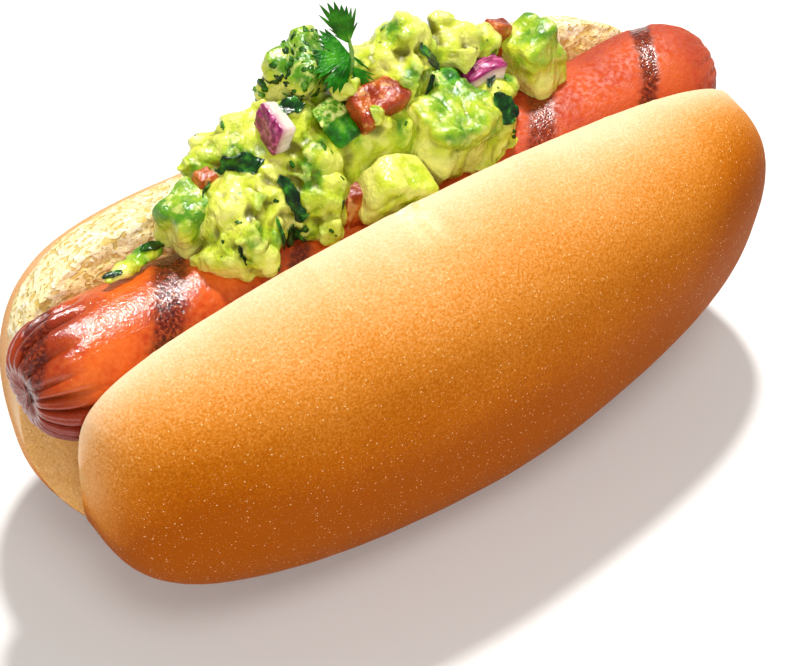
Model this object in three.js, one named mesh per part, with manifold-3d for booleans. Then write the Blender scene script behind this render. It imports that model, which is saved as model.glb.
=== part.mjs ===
// A hot dog: a split bun standing on its fold, a grilled frankfurter held in the split, and a heap of
// chunky guacamole on top with avocado, tomato, red onion, green pepper and a sprig of coriander.
//
// Millimetres, +Z up. +X runs along the bun from the puckered end of the sausage to its plain one, and
// +Y from the front half to the back half. The parts are drawn about the fold of the bun, and at the
// end all of them are moved together so that the origin is under the middle of the hot dog.
import * as THREE from 'three';
import { mergeVertices } from 'three/addons/utils/BufferGeometryUtils.js';
import Module from 'manifold-3d';

const wasm = await Module();
wasm.setup();
const toRadians = THREE.MathUtils.degToRad;

// Driving dimensions
const bunLength = 141;
const bunHeight = 62.6; // of a half, along its cut face
const foldHeight = 4.7; // the line that both halves lean out from
const floorHeight = 0.9; // where the undersides are flattened
const endLift = 3; // how far the ends of the bun and the sausage curve up
const sausageLength = 146;
const sausageDiameter = 23.2;
const bite = 0.9; // how far the sausage presses into each cut face
const gap = 0.35; // left between pieces that touch

const bunHalves = {
  front: {
    side: -1,
    lean: toRadians(7.5),
    thickness: 29.8,
    middle: 29.6,
    foot: 2.3, // added below, so that the half reaches the surface it stands on
    shift: 2,
    leftEnd: [1.84, 4.2],
    rightEnd: [1.6, 3.35],
  },
  back: {
    side: 1,
    lean: toRadians(21.3),
    thickness: 28.7,
    middle: 26.4,
    foot: -3.2,
    shift: -0.4,
    leftEnd: [6, 1.75],
    rightEnd: [6, 2.5],
  },
};

// Shared makers of solids

// A closed skin between two poles. place(along, around) gives each point: along runs from 0 at one
// pole to 1 at the other, and around is in radians from +Y towards +Z.
function skin(rings, spokes, place) {
  const geometry = new THREE.SphereGeometry(1, spokes, rings);
  geometry.deleteAttribute('normal');
  geometry.deleteAttribute('uv');
  const position = geometry.attributes.position;
  for (let i = 0; i < position.count; i++) {
    const along = 1 - Math.acos(THREE.MathUtils.clamp(position.getY(i), -1, 1)) / Math.PI;
    const around = Math.atan2(position.getX(i), position.getZ(i));
    const point = place(along, around);
    position.setXYZ(i, point.x, point.y, point.z);
  }
  return mergeVertices(geometry, 1e-4);
}

function toSolid(geometry) {
  const bare = geometry.clone();
  bare.deleteAttribute('normal');
  bare.deleteAttribute('uv');
  const merged = mergeVertices(bare, 1e-4);
  return new wasm.Manifold(
    new wasm.Mesh({
      numProp: 3,
      vertProperties: new Float32Array(merged.attributes.position.array),
      triVerts: new Uint32Array(merged.index.array),
    }),
  );
}

function toGeometry(solid) {
  const mesh = solid.getMesh();
  const geometry = new THREE.BufferGeometry();
  geometry.setAttribute('position', new THREE.BufferAttribute(new Float32Array(mesh.vertProperties), 3));
  geometry.setIndex(new THREE.BufferAttribute(new Uint32Array(mesh.triVerts), 1));
  geometry.computeVertexNormals();
  return geometry;
}

// The cosine or sine of a circle, pushed outwards so that 2 stays round and more is squarer.
function squared(value, squareness) {
  return Math.sign(value) * Math.abs(value) ** (2 / squareness);
}

// How full a loaf is at a place t along it, from 1 in the middle to 0 at its tips.
function fullness(t, [fall, bluntness]) {
  return Math.max(0, 1 - Math.abs(t) ** fall) ** (1 / bluntness);
}

// The sausage: straight with lifted ends, lying where it touches both cut faces of the bun
const sausageRadius = sausageDiameter / 2;
const halfOpening = (bunHalves.front.lean + bunHalves.back.lean) / 2;
const splitLean = (bunHalves.back.lean - bunHalves.front.lean) / 2;
const seatDepth = (sausageRadius - bite) / Math.sin(halfOpening);
const sausageCentre = {
  y: seatDepth * Math.sin(splitLean),
  z: foldHeight + seatDepth * Math.cos(splitLean),
};
const capLengths = { near: 11.5, far: 17 };
const capSquareness = 2.25;
const capShare = 0.3; // of the rings, for each cap
const puckers = 17; // folds of skin that meet at each end
const puckerDepth = 0.75;
const puckerReach = 0.75; // of a cap that the folds cross
const dimpleDepth = 1.6;

function sausagePoint(along, around, grow, folded) {
  const far = along > 0.5;
  const sign = far ? 1 : -1;
  const cap = far ? capLengths.far : capLengths.near;
  const barrel = sausageLength / 2 - cap;
  const fromPole = far ? 1 - along : along;
  let x = barrel * (1 - (fromPole - capShare) / (0.5 - capShare));
  let radius = sausageRadius;
  let towardsPole = 0;
  if (fromPole < capShare) {
    const angle = (fromPole / capShare) * (Math.PI / 2);
    x = barrel + cap * squared(Math.cos(angle), capSquareness);
    radius *= squared(Math.sin(angle), capSquareness);
    towardsPole = 1 - fromPole / capShare;
  }
  const swell = 1 + 0.018 * Math.sin(0.11 * x * sign + 0.6) + 0.012 * Math.sin(2 * around + 0.05 * x * sign);
  radius = radius * swell + (fromPole > 0 ? grow : 0);
  x += grow;
  if (folded && towardsPole > 0) {
    const share = THREE.MathUtils.smoothstep(towardsPole, 1 - puckerReach, 1);
    const ridge = Math.abs(Math.sin((puckers * around) / 2 + 0.7 * Math.sin(2 * around)));
    radius *= 1 - ((1 - ridge) * share * puckerDepth) / (0.35 * sausageRadius);
    x -= dimpleDepth * THREE.MathUtils.smoothstep(towardsPole, 0.62, 1);
  }
  const t = x / (sausageLength / 2);
  return new THREE.Vector3(
    sign * x,
    sausageCentre.y + radius * Math.cos(around),
    sausageCentre.z + endLift * t * t + radius * Math.sin(around),
  );
}

function sausageRoom(grow) {
  return toSolid(skin(20, 20, (along, around) => sausagePoint(along, around, grow, false)));
}

// The bun: two domes on leaning cut faces, joined by uncut crumb at the fold
const bunSquareness = { height: 2.7, thickness: 2.9 };
const cutFaceBulge = 0.8;

function halfPoint(half, along, around, grow) {
  const t = -Math.cos(Math.PI * along);
  const full = fullness(t, t < 0 ? half.leftEnd : half.rightEnd);
  const outward = Math.cos(around);
  const upward = Math.sin(around);
  const reach = bunHeight / 2 + (upward < 0 ? half.foot : 0) + grow;
  const height = half.middle + endLift * t * t + full * reach * squared(upward, bunSquareness.height);
  const depth = (outward > 0 ? half.thickness : cutFaceBulge) + grow;
  const thickness = full * depth * squared(outward, bunSquareness.thickness);
  return new THREE.Vector3(
    half.shift + t * (bunLength / 2 + grow),
    half.side * (height * Math.sin(half.lean) + thickness * Math.cos(half.lean)),
    foldHeight + height * Math.cos(half.lean) - thickness * Math.sin(half.lean),
  );
}

// The front half is a mirrored one, so its angles run the other way round to keep the skin outwards.
function bunHalf(half, grow) {
  const turn = (around) => (half.side > 0 ? around : Math.PI - around);
  return toSolid(skin(20, 24, (along, around) => halfPoint(half, along, turn(around), grow)));
}

const creaseDepth = 9; // how far the fold sits back from the ends of the bun
const cradle = 5; // how far the crumb rises beside the sausage
const foldBottom = 2;
const foldSquareness = 3;
const foldHalfWidth = 2.5;

function foldPoint(along, around, grow) {
  const t = -Math.cos(Math.PI * along);
  const full = fullness(t, [4, 2.6]);
  const top = sausageCentre.z - sausageRadius + cradle;
  const reach = full * ((top - foldBottom) / 2 + grow);
  const z = (top + foldBottom) / 2 + endLift * t * t + reach * squared(Math.sin(around), foldSquareness);
  const rise = Math.max(0, z - foldHeight);
  const width = rise * Math.tan(halfOpening) + foldHalfWidth + grow;
  return new THREE.Vector3(
    t * (bunLength / 2 - creaseDepth),
    rise * Math.tan(splitLean) + full * width * squared(Math.cos(around), foldSquareness),
    z,
  );
}

function bunBody(grow) {
  const fold = toSolid(skin(12, 14, (along, around) => foldPoint(along, around, grow)));
  return bunHalf(bunHalves.front, grow).add(bunHalf(bunHalves.back, grow)).add(fold);
}

const underside = toSolid(new THREE.BoxGeometry(400, 400, 100).translate(0, 0, floorHeight - 50));
const bunSolid = bunBody(0).subtract(sausageRoom(gap + 0.15)).subtract(underside);

// Toppings: a place, half sizes and turns in degrees for each piece

// A soft lump or a soft-edged block around a middle.
function blockPoint(direction, { half, squareness = 2, uneven = 0.06, seed = 0 }, grow) {
  const [a, b, c] = half.map((size) => size + grow);
  const reach =
    (Math.abs(direction.x / a) ** squareness +
      Math.abs(direction.y / b) ** squareness +
      Math.abs(direction.z / c) ** squareness) **
    (-1 / squareness);
  const wave =
    Math.sin(4.1 * direction.x + 2.3 * seed) * Math.sin(3.7 * direction.y + 1.1 + seed) +
    0.6 * Math.sin(6.3 * direction.z + 1.7 * seed + 2.9 * direction.x);
  return direction.clone().multiplyScalar(reach * (1 + uneven * wave));
}

function block(shape, grow, rings = 8, spokes = 10) {
  const turn = new THREE.Euler(...(shape.turn ?? [0, 0, 0]).map(toRadians));
  const middle = new THREE.Vector3(...shape.at);
  const geometry = skin(rings, spokes, (along, around) => {
    const polar = Math.PI * along;
    const direction = new THREE.Vector3(
      -Math.cos(polar),
      Math.sin(polar) * Math.cos(around),
      Math.sin(polar) * Math.sin(around),
    );
    return blockPoint(direction, shape, grow).applyEuler(turn).add(middle);
  });
  return toSolid(geometry);
}

// A cut from the wall of a vegetable: part of a ring, with its outside towards its own +Z.
function wallPiece({ at, turn, radius, wall, spread, length }, grow) {
  const outline = new THREE.Shape();
  const start = Math.PI / 2 - toRadians(spread) / 2 - grow / radius;
  const end = Math.PI / 2 + toRadians(spread) / 2 + grow / radius;
  outline.absarc(0, 0, radius + grow, start, end, false);
  outline.absarc(0, 0, radius - wall - grow, end, start, true);
  outline.closePath();
  const geometry = new THREE.ExtrudeGeometry(outline, {
    depth: length + 2 * grow,
    bevelEnabled: false,
    curveSegments: 6,
  });
  geometry.translate(0, wall / 2 - radius, -length / 2 - grow);
  geometry.rotateX(Math.PI / 2);
  geometry.applyMatrix4(new THREE.Matrix4().makeRotationFromEuler(new THREE.Euler(...turn.map(toRadians))));
  geometry.translate(...at);
  return toSolid(geometry);
}

const tomatoes = {
  tomato_left: { at: [-30.9, 13, 69.3], half: [1.8, 1.6, 1.6], squareness: 2.6, seed: 6 },
  tomato_front: { at: [-9.4, 2, 60.2], half: [2.6, 2.4, 4], squareness: 2.8, seed: 7 },
  tomato_middle: { at: [-0.1, 9, 71.1], half: [5.4, 3.2, 5.2], turn: [20, 10, 10], squareness: 2.8, seed: 8 },
  tomato_top: { at: [30.3, 15, 68.3], half: [2.4, 1.9, 3.8], turn: [0, 24, 0], squareness: 2.8, seed: 9 },
};
const onions = {
  onion_left: { at: [-17.9, 12, 74.8], turn: [0, -82, -14], radius: 16, wall: 3.6, spread: 26, length: 7.2 },
  onion_right: { at: [23.2, 9, 68.9], turn: [0, 0, 0], radius: 14, wall: 3.6, spread: 36, length: 5 },
};
const peppers = {
  pepper_middle: { at: [-7.4, 8.8, 73], turn: [35, 0, 10], radius: 5, wall: 2.4, spread: 80, length: 8.4 },
  pepper_right: { at: [14.4, 8, 71.8], turn: [20, 10, 80], radius: 4, wall: 1.6, spread: 80, length: 5.4 },
};
const avocados = {
  avocado_left: { at: [-35.7, 11.5, 64.6], half: [4.4, 4, 4.8], turn: [8, -6, 12], squareness: 4.2, seed: 1 },
  avocado_front: { at: [-3.1, -1, 62.4], half: [5.6, 4, 5.4], turn: [20, 18, -14], squareness: 4.2, seed: 2 },
  avocado_middle: { at: [11.6, 3.5, 64.8], half: [7.6, 6.2, 7], turn: [14, 6, 10], squareness: 4.2, seed: 3 },
  avocado_right: { at: [36.4, 11, 64], half: [4.6, 4.4, 6.6], turn: [-6, -12, 8], squareness: 4.2, seed: 4 },
  avocado_back: { at: [-8.1, 19, 76.4], half: [5.6, 4.4, 5], turn: [10, 10, 20], squareness: 4.2, seed: 5 },
};
const dab = { at: [-46.6, 11.2, 61.4], half: [6.6, 1.7, 1.5], turn: [0, 12, 19], seed: 3 };

// The mashed part of the heap. Each lump is x, y, z and its three half sizes.
const mashTurn = 24;
const mashSquareness = 2.7;
const mashLumps = [
  [-22, 11, 62, 15, 8, 7],
  [-1, 11, 63, 16, 9, 10],
  [15, 9, 61, 12, 8.5, 8],
  [-8, 17, 68, 6.5, 5, 6],
  [10, 14, 70, 9.5, 6, 7],
  [-30, 3.5, 61.8, 7.2, 5.4, 5.4],
  [-28, 7, 66.2, 6.8, 5.6, 5],
  [-14.6, 4.5, 62.3, 6.2, 5.2, 6.6],
  [-11.2, 8.5, 68.2, 6.8, 5.4, 5.2],
  [-20, 11.5, 67.5, 6.4, 5.4, 4.8],
  [-27.5, 16.5, 68, 5, 4.4, 3.6],
  [-20.7, 16.5, 70.2, 6, 4.8, 4.4],
  [-13.3, 14, 71.6, 5.8, 5, 4.8],
  [5.5, 15, 74, 7, 5, 4.6],
  [11.5, 15, 77.6, 3.8, 3.6, 4.4],
  [19.6, 14, 71.6, 7, 4.6, 4.2],
  [5, 8, 67.5, 4.6, 3.4, 5],
  [22.5, 4.5, 60.5, 4, 4, 5.8],
  [22.1, 8, 65.4, 6.6, 4.4, 3.8],
  [-4, 7, 65.8, 4.6, 3.8, 4.4],
  [26.5, 13.5, 69.4, 5, 3.6, 3.8],
];

function mashLump([x, y, z, a, b, c], i) {
  const turn = [Math.sin(2.3 * i), Math.sin(3.1 * i + 1), Math.sin(4.7 * i + 2)].map((share) => mashTurn * share);
  return block({ at: [x, y, z], half: [a, b, c], turn, squareness: mashSquareness, uneven: 0.07, seed: i }, 0, 7, 9);
}

// Pieces of green leaf that are stuck to the mash, lying flat towards the front left.
const flakeSquareness = 2.6;
const flakes = [
  { at: [-25.5, 11, 70.6], half: [3.2, 2, 0.7], spin: -27 },
  { at: [-20.6, 3, 67], half: [4, 1.3, 0.8], spin: -90 },
  { at: [21.4, 0.4, 67.4], half: [2.8, 2, 0.7], spin: -68 },
  { at: [-34.6, 13.1, 70.1], half: [1.7, 1.5, 0.8], spin: 0 },
  { at: [-21.8, 1.7, 60.9], half: [2.3, 1.6, 0.8], spin: -59 },
  { at: [11.6, 8.6, 77.9], half: [3.2, 1.3, 1], spin: -98 },
];

function flake({ at, half, spin }, i) {
  return block({ at, half, turn: [39, -24, spin], squareness: flakeSquareness, seed: i }, 0, 5, 8);
}

// The sprig of coriander

// A toothed leaf from its stalk to its tip, as a thin bent solid. A cross has a point on each edge
// and one on the midrib, and both faces are split into triangles alike.
const leafThickness = 0.5;
const notch = 0.62; // of the full width, between two teeth
const toothSweep = 0.06; // of the leaf's length that each tooth points forward

function leaf({ from, to, facing, width, teeth, spread }) {
  const base = new THREE.Vector3(...from);
  const forward = new THREE.Vector3(...to).sub(base);
  const reach = forward.length();
  forward.normalize();
  const up = new THREE.Vector3(...facing);
  const across = new THREE.Vector3().crossVectors(up, forward).normalize();
  up.crossVectors(forward, across);
  const rows = 2 * teeth + 1;
  const positions = [];
  for (const face of [1, -1]) {
    for (let row = 0; row < rows; row++) {
      const s = row / (rows - 1);
      const isTooth = row % 2 === 1;
      const belly = Math.sin(Math.PI * (0.12 + 0.78 * s)) ** 0.8;
      for (const side of [-1, 0, 1]) {
        const w = (side * width * belly * (isTooth ? 1 : notch)) / 2;
        const swept = reach * (s + (side !== 0 && isTooth ? toothSweep : 0)) + spread * Math.abs(w);
        const lift = 0.9 * Math.sin(3 * s + 0.5) + 0.35 * Math.abs(w) * Math.sin(5 * s + side);
        const point = base
          .clone()
          .addScaledVector(forward, swept)
          .addScaledVector(across, w)
          .addScaledVector(up, lift + (face * leafThickness) / 2);
        positions.push(point.x, point.y, point.z);
      }
    }
  }
  const index = [];
  const at = (face, row, column) => (face * rows + row) * 3 + column;
  const quad = (a, b, c, d) => index.push(a, c, b, a, d, c);
  const last = rows - 1;
  for (let row = 0; row < last; row++) {
    for (const column of [0, 1]) {
      quad(at(0, row, column), at(0, row, column + 1), at(0, row + 1, column + 1), at(0, row + 1, column));
      quad(at(1, row + 1, column), at(1, row + 1, column + 1), at(1, row, column + 1), at(1, row, column));
    }
    quad(at(0, row, 2), at(1, row, 2), at(1, row + 1, 2), at(0, row + 1, 2));
    quad(at(0, row + 1, 0), at(1, row + 1, 0), at(1, row, 0), at(0, row, 0));
  }
  for (const column of [0, 1]) {
    quad(at(1, 0, column), at(1, 0, column + 1), at(0, 0, column + 1), at(0, 0, column));
    quad(at(0, last, column), at(0, last, column + 1), at(1, last, column + 1), at(1, last, column));
  }
  const geometry = new THREE.BufferGeometry();
  geometry.setAttribute('position', new THREE.BufferAttribute(new Float32Array(positions), 3));
  geometry.setIndex(index);
  return toSolid(geometry);
}

// A thin stalk through the given points, closed at both ends.
function stalk(points, radius) {
  const path = new THREE.CatmullRomCurve3(points.map((p) => new THREE.Vector3(...p)));
  const sideways = new THREE.Vector3(0, 1, 0);
  const geometry = skin(10, 6, (along, around) => {
    const tangent = path.getTangent(along);
    const second = new THREE.Vector3().crossVectors(tangent, sideways).normalize();
    const first = new THREE.Vector3().crossVectors(second, tangent);
    const isPole = along <= 0 || along >= 1;
    const r = isPole ? 0 : radius * Math.sin(Math.PI * along) ** 0.25;
    return path
      .getPoint(along)
      .addScaledVector(first, r * Math.cos(around))
      .addScaledVector(second, r * Math.sin(around));
  });
  return toSolid(geometry);
}

const facing = [-0.4, -0.56, 0.7]; // towards the front left and up
const leaves = [
  { from: [-1.2, 13, 82.5], to: [-5.3, 13, 93.5], facing, width: 6, teeth: 5, spread: 0.5 },
  { from: [-1.2, 12.6, 80.5], to: [-9, 11.6, 80], facing, width: 12, teeth: 5, spread: 0.35 },
  { from: [-1.2, 12.6, 79], to: [2.4, 12, 75.2], facing, width: 5, teeth: 4, spread: 0.4 },
];
const stalkPoints = [
  [-2.9, 12, 73.6],
  [-1.6, 12.6, 78],
  [-1.1, 13, 82],
  [-1.5, 13, 84.5],
];
const sprig = leaves.map(leaf).reduce((all, one) => all.add(one), stalk(stalkPoints, 0.55));

// Nodes
const group = new THREE.Group();
let taken = bunBody(gap).add(sausageRoom(gap));

function addNode(name, geometry, color, roughness) {
  const mesh = new THREE.Mesh(geometry, new THREE.MeshStandardMaterial({ color, roughness, metalness: 0 }));
  mesh.name = name;
  group.add(mesh);
}

// Cuts what is already placed out of a new piece, drops crumbs of it, and keeps its own room free.
function addTopping(name, solid, room, color, roughness) {
  const bodies = solid.subtract(taken).decompose();
  bodies.sort((a, b) => b.volume() - a.volume());
  addNode(name, toGeometry(bodies[0]), color, roughness);
  taken = taken.add(room);
}

addNode('bun', toGeometry(bunSolid), 0xd88c3c, 0.7);
addNode(
  'sausage',
  skin(20, 2 * puckers, (along, around) => sausagePoint(along, around, 0, true)),
  0xc8461e,
  0.35,
);
for (const [name, shape] of Object.entries(tomatoes)) {
  addTopping(name, block(shape, 0), block(shape, gap), 0xb5301a, 0.4);
}
for (const [name, shape] of Object.entries(onions)) {
  addTopping(name, wallPiece(shape, 0), wallPiece(shape, gap), 0xd8b8c8, 0.4);
}
for (const [name, shape] of Object.entries(peppers)) {
  addTopping(name, wallPiece(shape, 0), wallPiece(shape, gap), 0x3f8a1e, 0.4);
}
for (const [name, shape] of Object.entries(avocados)) {
  addTopping(name, block(shape, 0, 10, 12), block(shape, gap, 10, 12), 0xa8c03c, 0.45);
}
addTopping('coriander', sprig, sprig, 0x2f7d22, 0.5);
addTopping('guacamole_dab', block(dab, 0, 10, 10), block(dab, gap, 10, 10), 0xb8c840, 0.4);
const mash = [...mashLumps.map(mashLump), ...flakes.map(flake)].reduce((all, one) => all.add(one));
addTopping('guacamole', mash, mash, 0xc4d452, 0.4);

// The origin goes under the middle of the hot dog, on the surface that it stands on.
const box = new THREE.Box3().setFromObject(group);
const middle = box.getCenter(new THREE.Vector3());
for (const mesh of group.children) {
  mesh.geometry.translate(-middle.x, -middle.y, -box.min.z);
}

export default group;
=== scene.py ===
# %% [markdown]
# # A hot dog with guacamole
# A split bun stands on its fold and holds a grilled sausage. On top lies a heap of chunky guacamole
# with avocado, tomato, red onion, green pepper and a sprig of coriander. The solids that carry
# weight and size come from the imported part. This file dresses each of them: it makes a finer mesh
# of the same form in the same place, and gives it a material made of nodes.

import itertools
import math

import bpy
import numpy as np
from mathutils import Matrix, Vector
from mathutils.bvhtree import BVHTree


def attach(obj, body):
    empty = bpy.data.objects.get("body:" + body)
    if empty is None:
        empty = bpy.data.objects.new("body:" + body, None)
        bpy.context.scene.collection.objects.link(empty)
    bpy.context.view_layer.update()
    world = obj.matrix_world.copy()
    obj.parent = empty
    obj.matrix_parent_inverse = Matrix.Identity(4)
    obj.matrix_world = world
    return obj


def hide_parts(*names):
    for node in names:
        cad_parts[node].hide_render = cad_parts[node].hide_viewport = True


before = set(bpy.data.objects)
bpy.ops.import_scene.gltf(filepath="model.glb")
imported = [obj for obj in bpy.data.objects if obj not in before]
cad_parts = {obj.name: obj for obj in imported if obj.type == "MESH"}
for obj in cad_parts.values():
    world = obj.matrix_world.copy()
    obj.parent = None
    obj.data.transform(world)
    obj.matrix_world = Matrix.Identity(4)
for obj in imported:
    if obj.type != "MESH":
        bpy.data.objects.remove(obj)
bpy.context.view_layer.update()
print("solids in the part:", ", ".join(sorted(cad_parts)))

# %% [markdown]
# ## Working in millimetres
# Blender counts in metres, but a sausage is easier to think about in millimetres. Every shape below
# is computed in millimetres about the fold of the bun, and is moved and scaled once, when its mesh
# is made. numpy handles all the points of a shape in one go, which keeps the fine meshes quick.

# %% Helpers that make meshes
MM = 0.001
UNDER_MIDDLE = np.array([0.4, 3.255, 0.9])  # the origin of the part, seen from the fold of the bun


def link(name, data):
    """A new object in the scene, for a mesh, a lamp or a camera."""
    made = bpy.data.objects.new(name, data)
    bpy.context.scene.collection.objects.link(made)
    return made


def shade_smooth(mesh):
    mesh.polygons.foreach_set("use_smooth", [True] * len(mesh.polygons))


def make_piece(name, points, faces):
    """A smooth-shaded mesh object from points in millimetres."""
    mesh = bpy.data.meshes.new(name)
    mesh.from_pydata(((points - UNDER_MIDDLE) * MM).tolist(), [], [tuple(face) for face in faces])
    shade_smooth(mesh)
    mesh.update()
    return link(name, mesh)


def skin_grid(rings, spokes, angles=None):
    """Where the points of a closed skin lie: along from 0 to 1 between its poles, and around."""
    angles = np.arange(spokes) * 2 * math.pi / spokes if angles is None else angles
    along = np.concatenate([[0], np.repeat(np.arange(1, rings) / rings, spokes), [1]])
    around = np.concatenate([[0], np.tile(angles, rings - 1), [0]])
    return along, around


def skin_faces(rings, spokes):
    """The faces of that skin, all pointing outwards, with a fan of triangles at each pole."""
    column = np.arange(spokes)
    after = (column + 1) % spokes
    faces = [(0, 1 + b, 1 + a) for a, b in zip(column, after)]
    for ring in range(rings - 2):
        low = 1 + ring * spokes
        high = low + spokes
        faces += list(zip(low + column, low + after, high + after, high + column))
    last = 1 + (rings - 1) * spokes
    low = last - spokes
    faces += [(last, low + a, low + b) for a, b in zip(column, after)]
    return faces


def sheet_faces(rows, columns):
    """The faces of an open sheet whose points are listed row after row."""
    corner = (np.arange(rows - 1)[:, None] * columns + np.arange(columns - 1)).ravel()
    return list(zip(corner, corner + columns, corner + columns + 1, corner + 1))


def squared(value, squareness):
    """The cosine or sine of a circle, pushed outwards: 2 stays round, and more is squarer."""
    return np.sign(value) * np.abs(value) ** (2 / squareness)


def smooth_step(value, low, high):
    share = np.clip((value - low) / (high - low), 0, 1)
    return share * share * (3 - 2 * share)


# %% [markdown]
# ## Bumps and pores from noise
# Bread, mash and grilled skin are never smooth. Gradient noise gives soft rolling bumps, and cell
# noise, the distance to the nearest of many scattered points, gives round pores. Both read the
# position of a point in space, so a bump doesn't depend on how the mesh is laid out, and both draw
# from a seeded table, so that each run gives the same food. Below, bumps and pores are called with
# their size in millimetres and a seed, and the number before them is how high they are.

# %% Noise
table = np.random.default_rng(7)
SHUFFLE = np.tile(table.permutation(256), 2)
SLOPES = table.normal(size=(256, 3))
SLOPES /= np.linalg.norm(SLOPES, axis=1)[:, None]
SCATTER = table.random((256, 3))
FAR_AWAY = 9.0  # further than any scattered point can be, in cells


def corner_number(cell, seed):
    x, y, z = ((cell + seed * 17).astype(int) & 255).T
    return SHUFFLE[SHUFFLE[SHUFFLE[x] + y] + z]


def bumps(points, size, seed=0):
    """Soft noise between about -1 and 1, whose bumps are about size wide."""
    place = points / size + 1000.5
    cell = np.floor(place)
    part = place - cell
    blend = part ** 3 * (part * (part * 6 - 15) + 10)
    total = 0
    for corner in itertools.product((0, 1), repeat=3):
        slope = SLOPES[corner_number(cell + corner, seed)]
        weight = np.prod(np.where(corner, blend, 1 - blend), axis=1)
        total = total + weight * np.sum(slope * (part - corner), axis=1)
    return 1.6 * total


def pores(points, size, seed=0):
    """The distance to the nearest of many scattered points, where 0 is the middle of a pore."""
    place = points / size + 1000
    cell = np.floor(place)
    nearest = np.full(len(points), FAR_AWAY)
    for corner in itertools.product((-1, 0, 1), repeat=3):
        there = cell + corner
        seat = there + SCATTER[corner_number(there, seed)]
        nearest = np.minimum(nearest, np.linalg.norm(place - seat, axis=1))
    return nearest


# %% [markdown]
# A mesh keeps its points in metres. These helpers read them in millimetres and write them back. A
# mark is a number that is kept on every point, such as how burnt the skin is there. The shapes
# write marks and the materials read them, so that relief and colour always agree.

# %% Points and marks of a mesh
def read_points(piece):
    points = np.empty(len(piece.data.vertices) * 3)
    piece.data.vertices.foreach_get("co", points)
    return points.reshape(-1, 3) / MM + UNDER_MIDDLE


def read_normals(piece):
    normals = np.empty(len(piece.data.vertices) * 3)
    piece.data.vertices.foreach_get("normal", normals)
    return normals.reshape(-1, 3)


def write_points(piece, points):
    piece.data.vertices.foreach_set("co", ((points - UNDER_MIDDLE) * MM).ravel())
    piece.data.update()


def raise_skin(piece, heights):
    """Moves each point along its normal, by millimetres."""
    write_points(piece, read_points(piece) + read_normals(piece) * np.asarray(heights)[:, None])


def write_mark(piece, mark, values):
    layer = piece.data.attributes.get(mark) or piece.data.attributes.new(mark, "FLOAT", "POINT")
    layer.data.foreach_set("value", np.asarray(values, dtype=np.float32))


# %% [markdown]
# ## Node trees as lists
# A node tree could be written as one line of code for each node and each wire. It is easier to read
# as a list of nodes, a list of what is set on them, and a list of wires. Two effects are used by
# nearly all materials here and are built once, as node groups: a soft mottle, and scattered specks.

# %% Node trees: mottle and specks
def new_tree(kind, name, inputs, output, nodes, settings, wires):
    """A node tree, and its nodes by their labels.

    A wire says which node gives, by which output, and which node takes, at which input. The labels
    "in" and "out" are the tree's own inputs and output.
    """
    tree = bpy.data.node_groups.new(name, kind)
    for label, socket in inputs.items():
        tree.interface.new_socket(label, in_out="INPUT", socket_type="NodeSocket" + socket)
    for label, socket in output.items():
        tree.interface.new_socket(label, in_out="OUTPUT", socket_type="NodeSocket" + socket)
    nodes = {"in": "NodeGroupInput", "out": "NodeGroupOutput", **nodes}
    made = {label: tree.nodes.new(node) for label, node in nodes.items()}
    for label, setting, value in settings:
        setattr(made[label], setting, value)
    for giver, source, taker, target in wires:
        tree.links.new(made[giver].outputs[source], made[taker].inputs[target])
    return tree, made


mottle, made = new_tree(
    "ShaderNodeTree", "mottle",
    {"Vector": "Vector", "Scale": "Float", "Contrast": "Float", "Detail": "Float"},
    {"Factor": "Float"},
    {"cloud": "ShaderNodeTexNoise", "centred": "ShaderNodeMath", "stretch": "ShaderNodeMath"},
    (("centred", "operation", "SUBTRACT"), ("stretch", "operation", "MULTIPLY_ADD"), ("stretch", "use_clamp", True)),
    (
        ("in", "Vector", "cloud", "Vector"), ("in", "Scale", "cloud", "Scale"),
        ("in", "Detail", "cloud", "Detail"), ("cloud", "Fac", "centred", 0),
        ("centred", 0, "stretch", 0), ("in", "Contrast", "stretch", 1), ("stretch", 0, "out", "Factor"),
    ),
)
MIDDLE_GREY = 0.5
made["centred"].inputs[1].default_value = MIDDLE_GREY
made["stretch"].inputs[2].default_value = MIDDLE_GREY

specks, _ = new_tree(
    "ShaderNodeTree", "specks",
    {"Vector": "Vector", "Scale": "Float", "Radius": "Float", "Share": "Float"},
    {"Mask": "Float"},
    {"cells": "ShaderNodeTexVoronoi", "near": "ShaderNodeMath", "channel": "ShaderNodeSeparateColor",
     "chosen": "ShaderNodeMath", "both": "ShaderNodeMath"},
    (("near", "operation", "LESS_THAN"), ("chosen", "operation", "LESS_THAN"), ("both", "operation", "MULTIPLY")),
    (
        ("in", "Vector", "cells", "Vector"), ("in", "Scale", "cells", "Scale"),
        ("cells", "Distance", "near", 0), ("in", "Radius", "near", 1),
        ("cells", "Color", "channel", "Color"), ("channel", "Red", "chosen", 0), ("in", "Share", "chosen", 1),
        ("near", 0, "both", 0), ("chosen", 0, "both", 1), ("both", 0, "out", "Mask"),
    ),
)
print("shared effects:", mottle.name, "and", specks.name)

# %% [markdown]
# ## Materials
# Each finish is one Principled shader with colours and bumps from procedural textures. Positions
# come from Object coordinates, so nothing slides when the food is moved. Colours are written as on
# screen, with six digits, and turned into the light values that Blender works with.

# %% Helpers that make materials
def colour(code):
    """A colour written as on screen, turned into the light values that shaders use."""
    screen = [int(code[i:i + 2], 16) / 255 for i in (1, 3, 5)]
    light = [c / 12.92 if c <= 0.04045 else ((c + 0.055) / 1.055) ** 2.4 for c in screen]
    return (*light, 1.0)


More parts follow.
